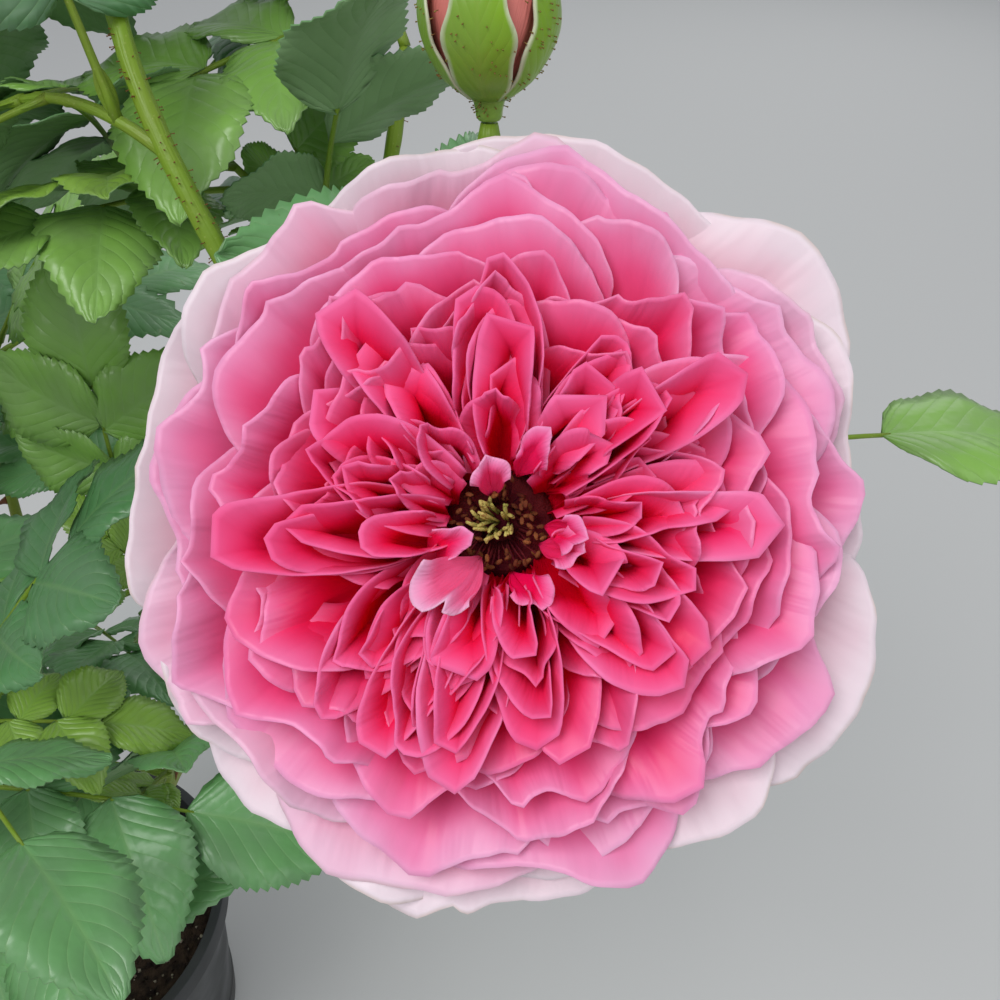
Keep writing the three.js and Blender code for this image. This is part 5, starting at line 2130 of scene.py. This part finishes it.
    def grow(self, own: str, mass: Mass) -> None:
        """Grows one mass: its stem, the rule's leaves, then young leaves in the gaps."""
        self.taken[own] = []
        limb = LIMBS[mass.on]
        start = bezier(limb.path, mass.at)[0]
        stem = [start, np.asarray(mass.bend, float), np.asarray(mass.tip, float)]
        t = np.linspace(0, 1, 20)
        self.stalks.append(tube(bezier(stem, t), self.stem_radius * (1 - 0.35 * t), 10, 0.1))
        kept = 0
        low, high = self.stem_span
        for i in range(mass.leaves):
            last = i == mass.leaves - 1
            at = low + (high - low) * i / (mass.leaves - 1)
            turn = mass.first + LEAF_TURN * i + 0.3 * sway(mass.seed, i)
            foot, ahead = self.shoot(stem, at, turn, 0.0 if last else mass.open, self.lowest_way)
            size = mass.size * (1 + 0.1 * sway(mass.seed, i + 20))
            roll = 0.35 * sway(mass.seed, i + 40)
            droop = 0.1 + 0.12 * chance(mass.seed, i + 60)
            curve, leaflets = self.leaf(foot, ahead, size, roll, droop)
            grown = [b for b in leaflets if self.grew(b, own)]
            if not grown:
                continue
            kept += len(grown)
            hue = self.hue(mass.seed * 7.3 + i, False)
            self.stalks += self.stalk(curve, self.stalk_radius, False)
            for k, blade in enumerate(grown):
                self.keep(self.settle(blade, own), mass, own, hue, mass.seed + i * 5 + k)
        young = self.fill(own, mass, stem)
        log.info("%s: %d leaflets and %d young ones", own, kept, young)

    def fill(self, own: str, mass: Mass, stem: list[Array]) -> int:
        """Grows small young leaves from the stem where they touch nothing, and counts leaflets."""
        low, high = (np.array(c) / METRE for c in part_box(own))
        total = 0
        for i in range(self.young_leaves):
            seed = mass.seed + 400 + i
            at = 0.15 + 0.8 * chance(seed, 1)
            turn, open_ = TURN * chance(seed, 2), 0.5 + 0.9 * chance(seed, 3)
            foot, ahead = self.shoot(stem, at, turn, open_, self.lowest_young_way)
            size = mass.size * (self.young_size + 0.2 * sway(seed, 4))
            curve, leaflets = self.leaf(foot, ahead, size, 0.5 * sway(seed, 5), 0.1)
            inside = [
                b
                for b in leaflets
                if np.all(b.root + b.way * b.size > low - self.past_box)
                and np.all(b.root + b.way * b.size < high + self.past_box)
                and not self.touches(b, own)
            ]
            if len(inside) < self.fewest_young:
                continue
            hue = self.hue(seed, True)
            self.stalks += self.stalk(curve, self.stalk_radius * 0.8, True)
            for k, blade in enumerate(inside):
                self.keep(blade, mass, own, hue, seed + 0.1 * k)
                total += 1
        return total

    def build(self, greens: list[bpy.types.Material], bark: bpy.types.Material) -> None:
        """Grows every mass and joins the leaves into three pieces and the stalks into one."""
        self.read_solids()
        for own, mass in MASSES.items():
            self.grow(own, mass)
        for name, blades in self.blades.items():
            skins = [skin for skin, _ in blades]
            kinds = [list(Hue).index(hue) for _, hue in blades]
            nodes = [own for own, mass in MASSES.items() if mass.piece == name]
            add_piece(name, skins, greens, nodes, kinds=kinds)
        add_piece("leaf_stalks", self.stalks, [bark], list(MASSES))


@dataclass
class Studio:
    """The camera above the bloom, a pale floor and soft light."""

    camera_place: tuple = (0.250, -0.2417, 0.7363)
    camera_tilt: float = math.radians(45)
    lens: float = 36.0
    sensor: float = 36.0
    floor_size: float = 9.0
    sky: Colour = (0.86, 0.90, 0.95)
    sky_strength: float = 0.48
    floor_drop: float = 0.0005
    floor_colour: Colour = (0.62, 0.62, 0.61)
    aim: tuple = (0.1, 0.0, 0.45)
    lights: tuple = (
        ("key light", (-0.45, -0.85, 2.3), 1.2, 25),
        ("fill light", (1.6, -0.9, 1.4), 1.4, 6),
        ("back light", (0.9, 1.9, 1.1), 1.2, 4),
    )

    def light(self, name: str, place: tuple, size: float, power: float) -> None:
        """A square soft light that faces the middle of the plant."""
        lamp = bpy.data.lights.new(name, "AREA")
        lamp.shape = "SQUARE"
        lamp.size = size
        lamp.energy = power
        matrix = frame_from(place, np.subtract(place, self.aim))
        placed(name, lamp).matrix_world = Matrix(matrix.tolist())

    def build(self) -> None:
        """Makes the camera, the floor, the lights and the sky."""
        lens = bpy.data.cameras.new("camera")
        lens.sensor_width = self.sensor
        lens.lens = self.lens
        lens.clip_start = 0.005
        camera = placed("camera", lens)
        camera.location = self.camera_place
        camera.rotation_euler = (self.camera_tilt, 0, 0)
        bpy.context.scene.camera = camera

        half = self.floor_size / 2
        corners = np.array([[-half, -half, 0], [half, -half, 0], [half, half, 0], [-half, half, 0]])
        mesh = bpy.data.meshes.new("floor")
        mesh.from_pydata((corners - SKY * self.floor_drop).tolist(), [], [(0, 1, 2, 3)])
        floor = placed("floor", mesh)
        paint, board, shader = Dress(name="pale floor", roughness=0.85, specular=0.5).begin()
        board.feed(shader, {"Base Color": opaque(self.floor_colour)})
        mesh.materials.append(paint)

        for name, place, size, power in self.lights:
            self.light(name, place, size, power)
        bpy.context.scene.view_settings.view_transform = "Standard"
        world = bpy.data.worlds.new("soft sky")
        bpy.context.scene.world = world
        world.use_nodes = True
        sky = world.node_tree.nodes["Background"]
        sky.inputs["Color"].default_value = (*self.sky, 1)
        sky.inputs["Strength"].default_value = self.sky_strength


# The main colour and the patches of each rough stuff.
ROUGH_STUFFS = {
    "gland": ((0.28, 0.24, 0.05), (0.24, 0.12, 0.04)),
    "peat": ((0.045, 0.028, 0.018), (0.014, 0.009, 0.007)),
    "pale grain": ((0.42, 0.38, 0.30), (0.2, 0.17, 0.12)),
    "style": ((0.66, 0.56, 0.17), (0.34, 0.36, 0.08)),
    "anther": ((0.34, 0.13, 0.04), (0.10, 0.015, 0.01)),
    # The filament colour also paints the eye's disc dark, partly as painted shade of the hollow.
    "filament": ((0.16, 0.015, 0.02), (0.06, 0.0, 0.01)),
}


def main() -> None:
    """Builds every piece of the rose bush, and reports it."""
    logging.basicConfig(level=logging.INFO, format="%(message)s")
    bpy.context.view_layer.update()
    effects = SharedEffects()
    satin = PetalFinish(roughness=0.4, specular=0.34, pleated=0.45).build()
    deep = PetalFinish(name="heart satin", roughness=0.45, specular=0.06).build()
    bark = StemFinish().build(effects)
    thorn = StemFinish(
        name="prickle", main=(0.30, 0.12, 0.025), warm=(0.16, 0.035, 0.015), roughness=0.4
    ).build(effects)
    greens = [
        LeafFinish(name=f"leaf {hue.name.lower()} green", top=hue.value).build(effects)
        for hue in Hue
    ]
    sepal = LeafFinish(
        name="sepal",
        top=(0.21, 0.40, 0.015),
        specular=0.35,
        below=(0.34, 0.42, 0.2),
        vein=(0.26, 0.38, 0.06),
        relief=0.15,
        margin=0.8,
    ).build(effects)
    furled = PetalFinish(
        name="furled satin",
        deep=((0.68, 0.20, 0.17),) * 4,
        edge=((0.78, 0.32, 0.27),) * 4,
        rim=((0.86, 0.50, 0.44),) * 4,
    ).build()
    rough = {
        name: RoughFinish(name=name, main=main, patch=patch).build(effects)
        for name, (main, patch) in ROUGH_STUFFS.items()
    }
    wood = RoughFinish(
        name="crown bark", main=(0.17, 0.115, 0.06), patch=(0.06, 0.045, 0.025), scale=120.0
    ).build(effects)

    Studio().build()
    pot = Pot()
    pot.build(PlasticFinish().build(effects))
    PottingMix().build(pot, rough["peat"], rough["pale grain"])
    Crown().build(wood)
    Canes().build(bark, thorn)
    Bloom().build(satin, deep)
    Eye().build(rough["style"], rough["anther"], rough["filament"])
    sepals = Sepals()
    sepals.build_bloom(sepal)
    sepals.build_bud(sepal, furled, rough["gland"])
    Foliage().build(greens, bark)

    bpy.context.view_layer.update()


if __name__ == "__main__":
    main()
